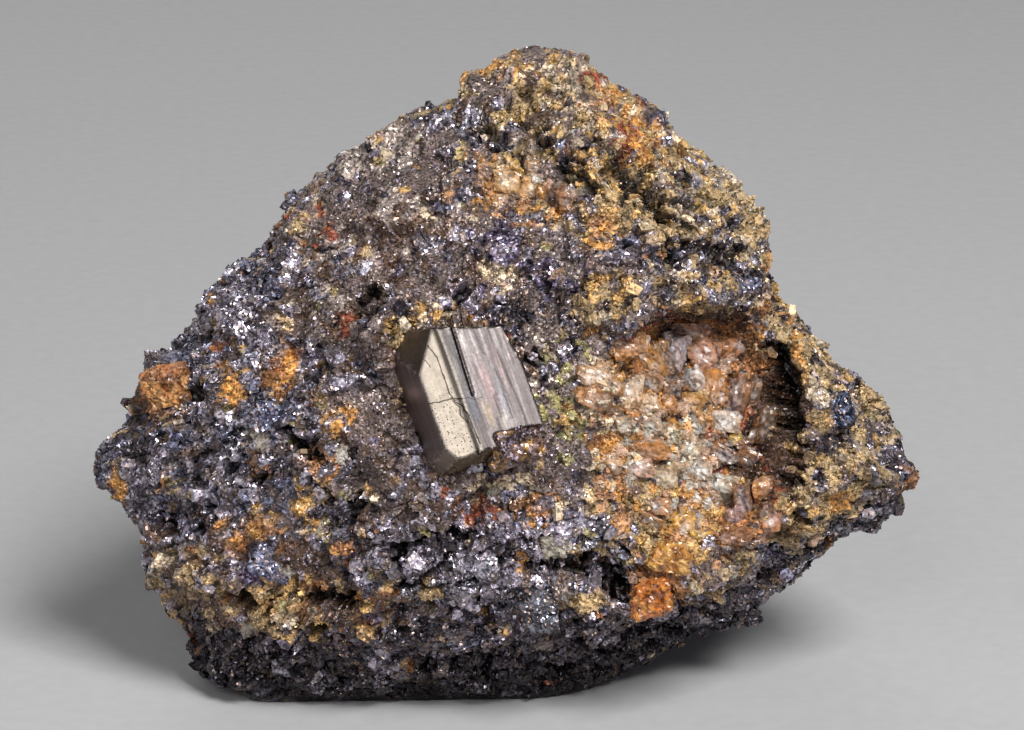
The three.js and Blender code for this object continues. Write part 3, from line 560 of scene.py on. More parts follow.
shares = evened(np.array([BREAKS[group] for group in GROUPS])[group_at], skin_quads, 2)
skin_normals = evened(corner_normals(skin, skin_quads), skin_quads, 8)
skin_normals /= np.linalg.norm(skin_normals, axis=1, keepdims=True)
wedge = 1 - smooth_step(0.0, 0.22, patch_next - patch_near)
# Where sulphide and ochre make the rock coarse, it breaks into slabs of 1.5 to 4 mm with dark gaps between
# them. They dip gently on the left and steeply on the right-hand shoulder.
coarse = np.isin(group_at, [GROUPS.index("sulphide"), GROUPS.index("ochre")]) * 1.0
coarse = smooth_step(0.3, 0.75, evened(coarse[:, None], skin_quads, 6)[:, 0])
right_side = smooth_step(-3, 3, skin[:, 0] + (skin[:, 2] - 22) * 0.5)
left_slab, left_gap = ledges(skin, *LEFT_BEDS)
right_slab, right_gap = ledges(skin, *RIGHT_BEDS)
slab = left_slab * LEFT_SHARE * (1 - right_side) + right_slab * right_side
slab_gap = np.where(right_side > 0.5, right_gap, left_gap)
slab_gap = slab_gap * coarse * smooth_step(0.3, 0.5, cell_value(wide_cell, 33))
crack = np.zeros(len(skin))
for across, up, length, width, turn, depth in CRACKS:
    crack = np.maximum(crack, ellipse_share(shaken, across, up, length * 1.1, width * 1.35, turn) * depth)
crack *= front

relief = chip_height(skin, PATCH_CELL, *LARGE_CHIPS) * shares[:, 0]
relief += chip_height(skin, SPECK_CELL, *SMALL_CHIPS) * shares[:, 1]
relief += slab * coarse * SLAB_STEP * (1 - smooth_step(0.5, 1.5, hollow_depth(skin) * front))
relief -= np.maximum(wedge * shares[:, 2], slab_gap * SLAB_GAP_DEPTH) + crack * CRACK_DEPTH
# The foot stays flat, and the relief is weaker where the photograph's outline runs, which is calmer.
foot = smooth_step(0.15, 1.6, skin[:, 2])
calm = 0.6 + 0.4 * smooth_step(0.05, 0.35, np.abs(directions[:, 1] + 0.15))
skin = skin + skin_normals * (relief * foot * calm)[:, None]
skin[:, 2] = np.maximum(skin[:, 2], 0)
# How much light reaches each point: little in gaps and cracks, and less towards the foot.
hidden = np.maximum(smooth_step(0.1, 0.5, crack), slab_gap)
shadow = 1 - 0.85 * np.maximum(wedge * shares[:, 2] / 0.25, hidden)
shadow *= 0.4 + 0.6 * smooth_step(1.0, 6.0, skin[:, 2])
print("relief from", round(relief.min(), 2), "to", round(relief.max(), 2), "mm")

# %% [markdown]
# ## From points to a mesh
# Blender's from_pydata takes points and faces. What a finish or a scatter needs to know at each point
# goes with the mesh as attributes: here the mineral's colour, how much light reaches it, as the colour's
# fourth value, and how metallic it is.

# %% Make the rock's mesh


def new_piece(name, points, faces, attributes=None):
    """A mesh object from points in millimetres, with a value or a colour at each point."""
    mesh = bpy.data.meshes.new(name)
    mesh.from_pydata(points * MM, [], faces.tolist())
    mesh.update()
    for key, values in (attributes or {}).items():
        set_attribute(mesh, key, values)
    piece = bpy.data.objects.new(name, mesh)
    bpy.context.scene.collection.objects.link(piece)
    return piece


def set_attribute(mesh, key, values):
    """Keeps a number, a vector or a colour at each point of a mesh."""
    kinds = {1: ("FLOAT", "value"), 3: ("FLOAT_VECTOR", "vector"), 4: ("FLOAT_COLOR", "color")}
    values = np.asarray(values, dtype=np.float32).reshape(len(mesh.vertices), -1)
    kind, field = kinds[values.shape[1]]
    mesh.attributes.new(key, kind, "POINT").data.foreach_set(field, values.ravel())


def with_shade(colours, shade=None):
    """Colours with how much light reaches each point as their fourth value."""
    shade = np.ones(len(colours)) if shade is None else shade
    return np.column_stack([colours, shade])


METAL_OF_GROUPS = (0.75, 0.25, 0, 0, 0)
metal = np.array(METAL_OF_GROUPS)[group_at]
rock = new_piece("granular_rock", skin, skin_quads, {"tint": with_shade(tint, shadow), "metal": metal})
print(rock.name, "has", 2 * len(skin_quads), "triangles")

# %% [markdown]
# ## Finishes
# One small function adds a node, sets it up and fills its inputs, either with values or with what
# another node gives. The finish of every granular mineral is built the same way. Its colour comes with
# the mesh. What is finer than the mesh is a Voronoi texture of specks about 0.15 mm wide. Each speck has
# its own brightness and gloss and leans its own way, so that it catches its own light, and some specks
# are dusted with another mineral's colour. The finishes differ in how metallic and how smooth they are.

# %% Build the granular finishes


def add_node(tree, kind, inputs=None, **settings):
    """Adds a node to a tree. inputs maps a socket's name or number to a value or another node's output."""
    node = tree.nodes.new(kind)
    for name, value in settings.items():
        setattr(node, name, value)
    for name, value in (inputs or {}).items():
        if isinstance(value, bpy.types.NodeSocket):
            tree.links.new(value, node.inputs[name])
        else:
            node.inputs[name].default_value = value
    return node


def new_finish(name):
    """A material with an empty tree: returns it, its tree and its shader."""
    finish = bpy.data.materials.new(name)
    finish.use_nodes = True
    finish.node_tree.nodes.clear()
    shader = add_node(finish.node_tree, "ShaderNodeBsdfPrincipled")
    add_node(finish.node_tree, "ShaderNodeOutputMaterial", {"Surface": shader.outputs[0]})
    return finish, finish.node_tree, shader


def specks_of(tree, speck_mm):
    """Small irregular specks: a random colour in each, and the three numbers of that colour."""
    place = add_node(tree, "ShaderNodeTexCoord").outputs["Object"]
    specks = add_node(tree, "ShaderNodeTexVoronoi", {"Vector": place, "Scale": 1 / (speck_mm * MM)})
    chance = add_node(tree, "ShaderNodeSeparateColor", {0: specks.outputs["Color"]})
    return specks.outputs["Color"], chance.outputs


def leaning(tree, speck_colours, amount):
    """The surface's normal, leaning another way in each speck."""
    outward = add_node(tree, "ShaderNodeNewGeometry").outputs["Normal"]
    way = add_node(tree, "ShaderNodeVectorMath", {0: speck_colours, 1: (0.5, 0.5, 0.5)},
                   operation="SUBTRACT")
    leant = add_node(tree, "ShaderNodeVectorMath", {0: way.outputs[0], 1: (amount,) * 3, 2: outward},
                     operation="MULTIPLY_ADD")
    return add_node(tree, "ShaderNodeVectorMath", {0: leant.outputs[0]}, operation="NORMALIZE").outputs[0]


def shaded(tree, colour, light, shade):
    """A colour times the speck's own brightness and the light that reaches the place."""
    lit = add_node(tree, "ShaderNodeMath", {0: light, 1: shade}, operation="MULTIPLY")
    return add_node(tree, "ShaderNodeVectorMath", {0: colour, "Scale": lit.outputs[0]},
                    operation="SCALE").outputs[0]


def finish_surface(tree, shader, colour, roughness, normal, metallic):
    """Ties what the nodes give to the shader. A plain number is set on its socket."""
    given = {"Base Color": colour, "Roughness": roughness, "Normal": normal, "Metallic": metallic}
    for socket, value in given.items():
        if isinstance(value, bpy.types.NodeSocket):
            tree.links.new(value, shader.inputs[socket])
        else:
            shader.inputs[socket].default_value = value


def granular_finish(name, speck_mm, lean, bright, gloss, metallic, dust, **shader_values):
    """A mineral whose colour comes with the mesh. bright and gloss are ranges over its specks, and
    dust is the colour of the other mineral that covers some of them."""
    finish, tree, shader = new_finish(name)
    tint_here = add_node(tree, "ShaderNodeAttribute", attribute_name="tint").outputs
    tone = add_node(tree, "ShaderNodeAttribute", attribute_name="tone").outputs["Fac"]
    speck_colours, chance = specks_of(tree, speck_mm)
    mixed = add_node(tree, "ShaderNodeMath", {0: tone, 1: 0.6, 2: chance[0]}, operation="MULTIPLY_ADD")
    light = add_node(tree, "ShaderNodeMapRange",
                     {0: mixed.outputs[0], 1: 0.1, 2: 1.5, 3: bright[0], 4: bright[1]})
    most_dust = 0.4 if metallic == 0 else 0.75
    dusty = add_node(tree, "ShaderNodeMapRange", {0: chance[2], 1: 0.65, 2: 0.85, 3: 0.0, 4: most_dust})
    mixture = add_node(tree, "ShaderNodeMix",
                       {0: dusty.outputs[0], 6: tint_here["Color"], 7: (*hex_to_linear(dust), 1)},
                       data_type="RGBA")
    colour = shaded(tree, mixture.outputs[2], light.outputs[0], tint_here["Alpha"])
    rough = add_node(tree, "ShaderNodeMapRange", {0: chance[1], 3: gloss[0], 4: gloss[1]})
    finish_surface(tree, shader, colour, rough.outputs[0], leaning(tree, speck_colours, lean), metallic)
    for socket, value in shader_values.items():
        shader.inputs[socket.replace("_", " ")].default_value = value
    return finish


# Cleaved sulphide: each grain is a small dark mirror, so most look dark and a few flash.
sulphide_finish = granular_finish("cleaved sulphide", 0.15, 0.8, (0.15, 1.95), (0.25, 0.5), 0.9, "#8a7464")
# Mica and fine gangue: pearly flakes, half way between stone and metal.
mica_finish = granular_finish("mica and fine gangue", 0.14, 0.8, (0.2, 1.95), (0.25, 0.5), 0.4, "#9a8ea0")
# Ochre limonite sand: dull crumbs, each a little different.
ochre_finish = granular_finish("limonite sand", 0.14, 0.8, (0.2, 2.0), (0.25, 0.55), 0.0, "#7d6a58")
# Rusty carbonate: waxy to earthy, warm light inside its grains.
rust_finish = granular_finish("rusty carbonate", 0.15, 0.7, (0.25, 1.7), (0.22, 0.55), 0.0, "#b59468")
# Quartz crumbs: glassy, letting some light through.
quartz_crumb_finish = granular_finish(
    "quartz crumbs", 0.2, 0.3, (0.65, 1.25), (0.12, 0.35), 0.0, "#c09468",
    Subsurface_Weight=0.4, Subsurface_Scale=0.5 * MM, Subsurface_Radius=(1, 0.7, 0.5))

# The rock's own skin between the grains: the same minerals, each point as metallic as its mineral.
skin_finish, tree, shader = new_finish("broken rock")
tint_here = add_node(tree, "ShaderNodeAttribute", attribute_name="tint").outputs
metallic = add_node(tree, "ShaderNodeAttribute", attribute_name="metal").outputs["Fac"]
speck_colours, chance = specks_of(tree, 0.15)
light = add_node(tree, "ShaderNodeMapRange", {0: chance[0], 3: 0.2, 4: 1.4})
rough = add_node(tree, "ShaderNodeMapRange", {0: chance[1], 3: 0.22, 4: 0.5})
colour = shaded(tree, tint_here["Color"], light.outputs[0], tint_here["Alpha"])
finish_surface(tree, shader, colour, rough.outputs[0], leaning(tree, speck_colours, 0.8), metallic)
rock.data.materials.append(skin_finish)
print(len(bpy.data.materials), "materials")

# %% [markdown]
# ## Scattering the grains
# What makes the rock look like rock is its grains: flat-faced bits of 0.1 to 1.1 mm that catch the light
# one by one. There are far too many to place by hand, so a Geometry Nodes tree strews them over the
# skin, as many per square metre as an attribute says. It picks a shape for each, turns it, gives it a
# size and a tone, makes them real geometry and gives them their finish. Small ones are commonest.

# %% Build the scatter tree
SMALL_ONES = 2.6


def scatter_tree():
    """The tree that strews grains. The higher SMALL_ONES is, the more of them are near the smallest size."""
    tree = bpy.data.node_groups.new("scatter grains", "GeometryNodeTree")
    sockets = {"Skin": "Geometry", "Crowding": "String", "Shapes": "Collection", "Finish": "Material",
               "Smallest": "Float", "Largest": "Float", "Tilt": "Float", "Seed": "Int"}
    for name, kind in sockets.items():
        tree.interface.new_socket(name, in_out="INPUT", socket_type="NodeSocket" + kind)
    tree.interface.new_socket("Grains", in_out="OUTPUT", socket_type="NodeSocketGeometry")
    given = add_node(tree, "NodeGroupInput").outputs
    crowding = add_node(tree, "GeometryNodeInputNamedAttribute", {"Name": given["Crowding"]},
                        data_type="FLOAT")
    spots = add_node(tree, "GeometryNodeDistributePointsOnFaces",
                     {"Mesh": given["Skin"], "Density": crowding.outputs[0], "Seed": given["Seed"]})
    shapes = add_node(tree, "GeometryNodeCollectionInfo",
                      {"Collection": given["Shapes"], "Separate Children": True, "Reset Children": True})
    back = add_node(tree, "ShaderNodeMath", {0: given["Tilt"], 1: -1.0}, operation="MULTIPLY").outputs[0]
    least = add_node(tree, "ShaderNodeCombineXYZ", {0: back, 1: back, 2: -math.pi})
    most = add_node(tree, "ShaderNodeCombineXYZ", {0: given["Tilt"], 1: given["Tilt"], 2: math.pi})
    angles = add_node(tree, "FunctionNodeRandomValue",
                      {0: least.outputs[0], 1: most.outputs[0], "Seed": 1}, data_type="FLOAT_VECTOR")
    turn = add_node(tree, "FunctionNodeEulerToRotation", {0: angles.outputs[0]})
    facing = add_node(tree, "FunctionNodeRotateRotation",
                      {0: spots.outputs["Rotation"], 1: turn.outputs[0]}, rotation_space="LOCAL")
    chance = add_node(tree, "FunctionNodeRandomValue", {"Seed": 2}, data_type="FLOAT").outputs[1]
    mostly_small = add_node(tree, "ShaderNodeMath", {0: chance, 1: SMALL_ONES}, operation="POWER")
    size = add_node(tree, "ShaderNodeMapRange",
                    {0: mostly_small.outputs[0], 3: given["Smallest"], 4: given["Largest"]})
    strewn = add_node(tree, "GeometryNodeInstanceOnPoints",
                      {"Points": spots.outputs["Points"], "Instance": shapes.outputs[0],
                       "Pick Instance": True, "Rotation": facing.outputs[0], "Scale": size.outputs[0]})
    own_tone = add_node(tree, "FunctionNodeRandomValue", {"Seed": 3}, data_type="FLOAT").outputs[1]
    toned = add_node(tree, "GeometryNodeStoreNamedAttribute",
                     {"Geometry": strewn.outputs[0], "Name": "tone", "Value": own_tone},
                     data_type="FLOAT", domain="INSTANCE")
    real = add_node(tree, "GeometryNodeRealizeInstances", {0: toned.outputs[0]})
    finished = add_node(tree, "GeometryNodeSetMaterial", {0: real.outputs[0], "Material": given["Finish"]})
    add_node(tree, "NodeGroupOutput", {0: finished.outputs[0]})
    return tree


grain_scatter = scatter_tree()
print("scatter tree with", len(grain_scatter.nodes), "nodes")

# %% [markdown]
# The grains' shapes: blocks whose eight corners are moved a little, closed by a convex hull. Sulphide
# cleaves into nearly right-angled blocks, mica into thin flakes, and the others crumble. A dozen faces
# are enough for a grain of a few tenths of a millimetre, and there are tens of thousands of them.

# %% Make the grain shapes
rng = np.random.default_rng(21)
NARROWEST = 0.55


def grain_shapes(name, corners, thickness, unevenness, count=8):
    """A collection of small convex blocks, one unit long and between NARROWEST and one unit wide."""
    shapes = bpy.data.collections.new(name)
    for n in range(count):
        block = bmesh.new()
        width = rng.uniform(NARROWEST, 1)
        for corner in corners:
            moved = np.array(corner) + rng.normal(0, unevenness, 3)
            block.verts.new(moved * (1, width, thickness))
        bmesh.ops.convex_hull(block, input=block.verts)
        bmesh.ops.recalc_face_normals(block, faces=block.faces)
        mesh = bpy.data.meshes.new(f"{name} {n}")
        block.to_mesh(mesh)
        block.free()
        shapes.objects.link(bpy.data.objects.new(mesh.name, mesh))
    return shapes


BLOCK = list(product((-0.5, 0.5), repeat=3))
FIVE_SIDES = [(-0.5, -0.3), (0, -0.5), (0.5, -0.2), (0.4, 0.4), (-0.4, 0.45)]
PLATE = [(x, y, z) for x, y in FIVE_SIDES for z in (-0.5, 0.5)]
DIAMOND = [(-0.6, 0, 0), (0.6, 0, 0), (0, -0.6, 0), (0, 0.6, 0), (0, 0, -0.6), (0, 0, 0.6)]
SHAPES = {
    "sulphide": grain_shapes("cleaved blocks", BLOCK, 0.6, 0.12),
    "plates": grain_shapes("cleaved plates", PLATE, 0.3, 0.06),
    "mica": grain_shapes("flakes", DIAMOND, 0.4, 0.12),
    "ochre": grain_shapes("crumbs", DIAMOND, 0.9, 0.14),
}

# %% [markdown]
# Each group of minerals is strewn on its own, so that it can have its own sizes and finish. The crowding
# is worked out from the skin's area, so that each group gets about the number of grains it is meant to.
# The crystal's side gets most of them. Few are set in the crevices, which stay dark.

# %% Strew the grains
# Piece: mineral group, shapes, how many, smallest and largest in mm, tilt in degrees, finish.
STREWN = {
    "sulphide_grains": ("sulphide", "sulphide", 12800, 0.1, 0.42, 45, sulphide_finish),
    "sulphide_plates": ("sulphide", "plates", 2800, 0.4, 1.1, 18, sulphide_finish),
    "mica_grains": ("mica", "mica", 18500, 0.1, 0.34, 40, mica_finish),
    "ochre_grains": ("ochre", "ochre", 12000, 0.11, 0.38, 80, ochre_finish),
    "ochre_plates": ("ochre", "plates", 1100, 0.35, 0.95, 24, ochre_finish),
    "rust_grains": ("rust", "ochre", 7500, 0.11, 0.36, 80, rust_finish),
    "quartz_grains": ("quartz", "ochre", 3400, 0.14, 0.45, 70, quartz_crumb_finish),
}
# How much less crowded the grains are in cracks and slab gaps, and in the crevices between large chips.
CRACK_LOSS, CREVICE_LOSS = 0.85, 0.4


def strew(name, group, shapes, count, smallest, largest, tilt, finish):
    """Grains of one group, as one plain mesh."""
    wanted = (group_at == GROUPS.index(group)) * (0.3 + 0.7 * front) * (skin[:, 2] > 0.5)
    wanted = wanted * (1 - CRACK_LOSS * hidden) * (1 - CREVICE_LOSS * wedge)
    areas = np.linalg.norm(quad_normals(skin, skin_quads), axis=1) / 2
    expected = (areas * wanted[skin_quads].mean(axis=1)).sum()
    set_attribute(rock.data, "crowd_" + name, wanted * count / expected / MM ** 2)
    host = bpy.data.objects.new("host", rock.data)
    bpy.context.scene.collection.objects.link(host)
    scatter = host.modifiers.new("scatter", "NODES")
    scatter.node_group = grain_scatter
    values = {"Crowding": "crowd_" + name, "Shapes": SHAPES[shapes], "Finish": finish,
              "Smallest": smallest * MM, "Largest": largest * MM, "Tilt": math.radians(tilt),
              "Seed": list(STREWN).index(name)}
    for item in grain_scatter.interface.items_tree:
        if item.name in values:
            scatter[item.identifier] = values[item.name]
    depsgraph = bpy.context.evaluated_depsgraph_get()
    mesh = bpy.data.meshes.new_from_object(host.evaluated_get(depsgraph), depsgraph=depsgraph)
    bpy.data.objects.remove(host)
    grains = bpy.data.objects.new(name, mesh)
    bpy.context.scene.collection.objects.link(grains)
    # No grain reaches under the plane that the rock rests on.
    points = np.empty(3 * len(mesh.vertices), dtype=np.float32)
    mesh.vertices.foreach_get("co", points)
    points[2::3] = np.maximum(points[2::3], 0)
    mesh.vertices.foreach_set("co", points)
    mesh.name = grains.name
    return grains


grain_pieces = {name: strew(name, *values) for name, values in STREWN.items()}
for piece in grain_pieces.values():
    print(piece.name, "has", len(piece.data.polygons), "triangles")

# %% [markdown]
# ## The quartz of the hollow
# The hollow's floor is a mass of worn quartz crystals, white where clean and orange to brown where iron
# has stained them. Each large one is listed with its place, its half sizes, its turn and its colour.
# The small pocket above the cobaltite crystal has a dozen of its own, most of them peach or orange.

# %% List the hollow's quartz crystals
# Across, depth, up, half width, half height, turn, colour.
HOLLOW_BLOCKS = [
    (6.9, -9.2, 23.0, 1.15, 0.9, 5, "#c9864e"), (8.3, -6.2, 21.4, 0.95, 1.2, -5, "#dc9a48"),
    (9.8, -5.1, 21.3, 0.82, 1.35, 8, "#e9dde4"), (11.4, -4.6, 21.0, 1.1, 1.25, 0, "#c08468"),
    (10.9, -5.5, 19.7, 0.75, 0.75, 0, "#efe6dc"), (12.0, -5.1, 19.2, 0.78, 1.2, 0, "#d58c45"),
    (10.8, -6.0, 18.5, 0.78, 0.78, 0, "#dfa04e"), (9.5, -6.4, 19.5, 0.8, 0.9, 0, "#3e3038"),
    (8.2, -6.9, 20.2, 0.9, 0.6, 0, "#98857a"), (14.3, -4.6, 18.5, 0.5, 1.5, -35, "#a39288"),
    (13.4, -4.9, 18.1, 0.7, 1.7, -25, "#5e4048"), (12.7, -5.6, 17.2, 1.15, 0.8, 0, "#ebe0d2"),
    (13.4, -5.8, 16.1, 0.45, 0.45, 0, "#d9b455"), (12.7, -6.4, 15.4, 1.15, 0.62, -5, "#4e4248"),
    (4.9, -10.5, 21.5, 1.25, 0.8, 0, "#d6ad86"), (4.7, -11.5, 20.6, 1.15, 0.62, 0, "#b07a50"),
    (7.0, -8.4, 19.9, 0.85, 0.9, 0, "#dcb892"), (8.0, -7.9, 19.0, 0.8, 0.7, 0, "#d8b48c"),
    (8.3, -8.4, 17.8, 0.68, 0.68, 0, "#b3b0a2"), (9.6, -8.0, 16.9, 0.4, 0.4, 0, "#9aa07c"),
    (6.5, -9.7, 18.3, 0.6, 0.55, 0, "#b4ae9c"), (8.0, -9.5, 16.8, 1.4, 0.55, -8, "#c08050"),
    (7.3, -10.4, 15.9, 1.05, 0.55, 0, "#e2c2b4"), (9.0, -9.8, 15.0, 1.0, 0.8, 0, "#e6cfa8"),
    (12.4, -7.6, 13.9, 1.4, 0.75, -10, "#cfcbb8"), (11.2, -8.0, 14.9, 0.8, 0.55, 0, "#b6b4a8"),
    (13.8, -9.2, 13.1, 0.58, 1.25, 8, "#62545e"), (15.0, -9.1, 14.0, 0.85, 0.88, 0, "#cc8444"),
    (10.2, -10.8, 12.4, 0.65, 0.95, 10, "#dba038"), (13.2, -11.1, 11.9, 1.1, 0.65, 0, "#94583c"),
    (15.0, -10.2, 12.7, 0.78, 0.88, 0, "#c87a52"), (11.1, -11.4, 11.7, 0.8, 0.5, 0, "#d9a848"),
    (13.3, -10.0, 12.4, 0.62, 0.7, 0, "#b09aa4"), (14.5, -10.1, 11.4, 0.58, 0.45, 0, "#cf9070"),
    (14.1, -6.3, 15.1, 1.0, 0.8, -10, "#6c4c48"), (12.6, -5.1, 18.6, 0.6, 0.6, 0, "#a0643e"),
    (14.8, -6.0, 17.0, 0.65, 1.4, -20, "#553626"), (10.6, -7.8, 16.1, 0.72, 0.62, 0, "#e2cfae"),
    (5.9, -10.8, 16.2, 0.78, 0.52, 0, "#d8b48e"), (8.7, -10.8, 13.7, 0.9, 0.6, 0, "#dba27a"),
    (11.5, -9.1, 13.1, 0.4, 0.4, 0, "#e4ddcf"), (8.1, -11.6, 13.0, 0.9, 0.5, -20, "#c4844e"),
    (10.6, -4.3, 22.6, 1.5, 0.6, 0, "#8a4c30"), (13.4, -3.7, 21.3, 0.9, 0.6, 0, "#a86a52"),
    (6.2, -9.6, 20.9, 0.6, 0.8, 10, "#d89a58"), (9.2, -6.6, 18.4, 0.55, 0.6, 0, "#cc8440"),
    (11.6, -6.4, 17.6, 0.6, 0.6, 10, "#d59a5c"), (7.2, -9.2, 18.8, 0.55, 0.5, 0, "#c98348"),
]
POCKET_BLOCKS = [
    (0.2, -3.1, 32.1, 0.45, 0.72, 15, "#e2b050"), (-0.4, -3.4, 31.4, 0.82, 0.85, 0, "#ecc08a"),
    (-0.7, -4.0, 30.5, 0.9, 0.6, 0, "#e8b080"), (-0.2, -3.6, 30.9, 0.35, 0.5, 0, "#cf8430"),
    (1.1, -3.3, 30.9, 0.75, 0.9, 0, "#e8bc8a"), (1.8, -3.8, 30.6, 0.5, 0.78, -8, "#e89c3c"),
    (3.2, -4.9, 30.8, 0.78, 0.72, 0, "#8a6658"), (-1.4, -3.1, 31.9, 0.52, 0.48, 0, "#c8a08c"),
    (1.2, -3.3, 31.5, 0.65, 0.52, 0, "#e6d4bc"), (1.4, -3.0, 32.3, 0.9, 0.45, -10, "#86705e"),
    (2.5, -4.0, 31.0, 0.45, 0.6, 5, "#c49078"), (0.5, -3.6, 30.4, 0.45, 0.45, 0, "#e4a460"),
]
print(len(HOLLOW_BLOCKS), "crystals in the hollow,", len(POCKET_BLOCKS), "in the upper pocket")

# %% [markdown]
# A crystal is made as the rock is, with a sphere of directions pushed out to a dozen flat faces. It is
# sunk into the rock at the nearest point of the skin, so that it sits on it from every side, and four
# smaller ones grow round it. Chips of a few hundredths of a millimetre make its faces sugary.

# %% Grow the quartz crystals
# A crystal's own size and those of the small ones round it, with the steps of their grids.
SHARES = {1.0: 6, 0.52: 4, 0.44: 4, 0.36: 4, 0.3: 4}
DEPTH_SHARE, TUMBLE = 0.8, 0.14
# Each listed colour is taken a little darker and cooler than it is written.
COOLER = (0.85, 0.92, 0.99)
STAIN, CLEAN = (np.array(hex_to_linear(code)) for code in ("#b07a3c", "#f4eeea"))
rock_tree = BVHTree.FromPolygons(skin.tolist(), skin_quads.tolist())


def worn_crystal(half_sizes, steps, cuts=6, rounding=0.07):
    """One crystal with flat faces and slightly worn edges: its points and quads."""
    rays, quads = cube_sphere(steps)
    axes = np.concatenate([np.eye(3), -np.eye(3)]) + rng.normal(0, 0.1, (6, 3))
    corners = rng.normal(0, 1, (cuts, 3))
    normals = np.concatenate([axes, corners])
    normals /= np.linalg.norm(normals, axis=1, keepdims=True)
    distances = np.concatenate([rng.uniform(0.85, 1, 6), rng.uniform(0.95, 1.15, cuts)])
    return rays * worn_reach(rays, normals, distances, rounding)[:, None] * half_sizes, quads


def turned(points, degrees):
    """Points turned in the picture's plane, about the axis that points away from the viewer."""
    c, s = math.cos(math.radians(degrees)), math.sin(math.radians(degrees))
    x, z = points[:, 0], points[:, 2]
    return np.stack([x * c - z * s, points[:, 1], x * s + z * c], axis=1)


def joined(parts):
    """Several (points, quads, tints) as one."""
    points, quads, tints, count = [], [], [], 0
    for some_points, some_quads, some_tints in parts:
        quads.append(some_quads + count)
        points.append(some_points)
        tints.append(some_tints)
        count += len(some_points)
    return np.concatenate(points), np.concatenate(quads), np.concatenate(tints)


def tumbled(points, spread):
    """Points turned a little at random about all three axes."""
    turn = Euler(rng.normal(0, spread, 3)).to_matrix()
    return points @ np.array(turn).T


def quartz_mass(rows, sunk):
    """Crystals of a pocket, each sunk into the rock by a share of its depth, with small ones beside it."""
    parts = []
    for x, y, z, half_width, half_height, turn, code in rows:
        depth = DEPTH_SHARE * (half_width + half_height) / 2
        place, normal, _, _ = (np.array(v) for v in rock_tree.find_nearest((x, y, z)))
        for share, steps in SHARES.items():
            half = np.array([half_width, depth, half_height]) * share * rng.uniform(0.85, 1.05, 3)
            aside = rng.uniform(-1, 1, 3) * (half_width, 0.2 * depth, half_height) * (1 - share) * 1.6
            points, quads = worn_crystal(half, steps)
            inner = np.linalg.norm(points / half, axis=1)
            points = turned(tumbled(points, TUMBLE) + aside, turn) + place - normal * depth * sunk
            sugar = chip_height(points, 0.5, 0.25, 0.05) + chip_height(points, 0.22, 0.2, 0.02)
            points = points + corner_normals(points, quads) * sugar[:, None]
            # Cloudy white inside, stained on the edges, and darker low down in the seams between the
            # crystals: painted shade together with the seams' own darker colour.
            cell = nearest_cells(points, 0.33)[0]
            own = np.array(hex_to_linear(code)) * COOLER * rng.uniform(0.72, 1.08)
            middle = smooth_step(1.3, 0.9, inner)
            cloudy = (0.75 * cell_value(cell, 4) ** 1.6 * middle)[:, None]
            rusty = ((1 - middle) * 0.45 + 0.2 * cell_value(cell, 6) ** 2)[:, None]
            tints = own + (CLEAN - own) * cloudy
            above = (points - place) @ normal / depth
            seams = (0.4 + 0.6 * smooth_step(-0.15, 0.5, above))[:, None]
            parts.append((points, quads, (tints + (STAIN - tints) * rusty) * seams))
    return joined(parts)


def piece_of(name, parts, finish):
    """A finished piece from its points, quads and tints."""
    points, quads, tints = parts
    tone = cell_value(nearest_cells(points, 0.3)[0], 5)
    piece = new_piece(name, points, quads, {"tint": with_shade(tints), "tone": tone})
    piece.data.materials.append(finish)
    return piece


# %% [markdown]
# Stained quartz is translucent: light enters it, takes the stain's colour and leaves near by. Subsurface
# scattering over a fraction of a millimetre gives that glow, and a smooth surface its greasy shine.

# %% Finish the quartz
quartz_finish = granular_finish(
    "iron-stained quartz", 0.17, 0.6, (0.4, 1.4), (0.08, 0.35), 0.0, "#8c6a50",
    Subsurface_Weight=0.45, Subsurface_Scale=0.35 * MM, Subsurface_Radius=(1, 0.8, 0.65),
    Coat_Weight=0.5, Coat_Roughness=0.08)
hollow_quartz = piece_of("hollow_quartz", quartz_mass(HOLLOW_BLOCKS, 0.22), quartz_finish)
pocket_quartz = piece_of("upper_pocket_quartz", quartz_mass(POCKET_BLOCKS, 0.2), quartz_finish)
print("hollow", 2 * len(hollow_quartz.data.polygons), "triangles; upper pocket",
      2 * len(pocket_quartz.data.polygons))

# %% [markdown]
# ## The cobaltite crystal
# Cobaltite grows as cubes and pyritohedra, whose faces carry fine parallel grooves. The CAD solid has the
# faces but not the grooves, and its edges are perfectly sharp. A voxel remesh turns a copy of it into an
# even skin of tiny quads with slightly worn edges. Then its points are moved in or out by a formula on
# the crystal's own axes: out of the striated face, to the left, and down the length of the grooves.

# %% Remesh the crystal
CRYSTAL_CENTRE = np.array([-3.05, -11.4, 20.25])
CRYSTAL_DOWN = np.array([0.33, -0.474, -0.813])
CRYSTAL_OUT = np.array([0.35, -0.779, 0.516])
# Each face's normal on the axes out, left, down, its distance from the centre, and its colour.
CRYSTAL_FACES = {
    "striated": ((1, 0, 0), 3.5, "#544e4d"),
    "left": ((0, 1, 0), 3.02, "#7c716e"),
    "right": ((0, -1, 0), 3.05, "#7d766e"),
    "bottom": ((0, 0, 1), 3.9, "#7a6b58"),
    "back": ((-1, 0, 0), 4.2, "#7a746c"),
    "top": ((0.25, -0.209, -0.945), 4.27, "#8d8479"),
    "bright": ((0.894, 0.447, 0), 3.72, "#b3a99d"),
    "upper left": ((0.356, 0.844, -0.401), 4.13, "#83786c"),
    "lower left": ((0.021, 0.898, 0.439), 4.08, "#8a7d72"),
    "upper right": ((0.2, -0.962, -0.183), 3.78, "#85796c"),
}
VOXEL_MM = 0.09

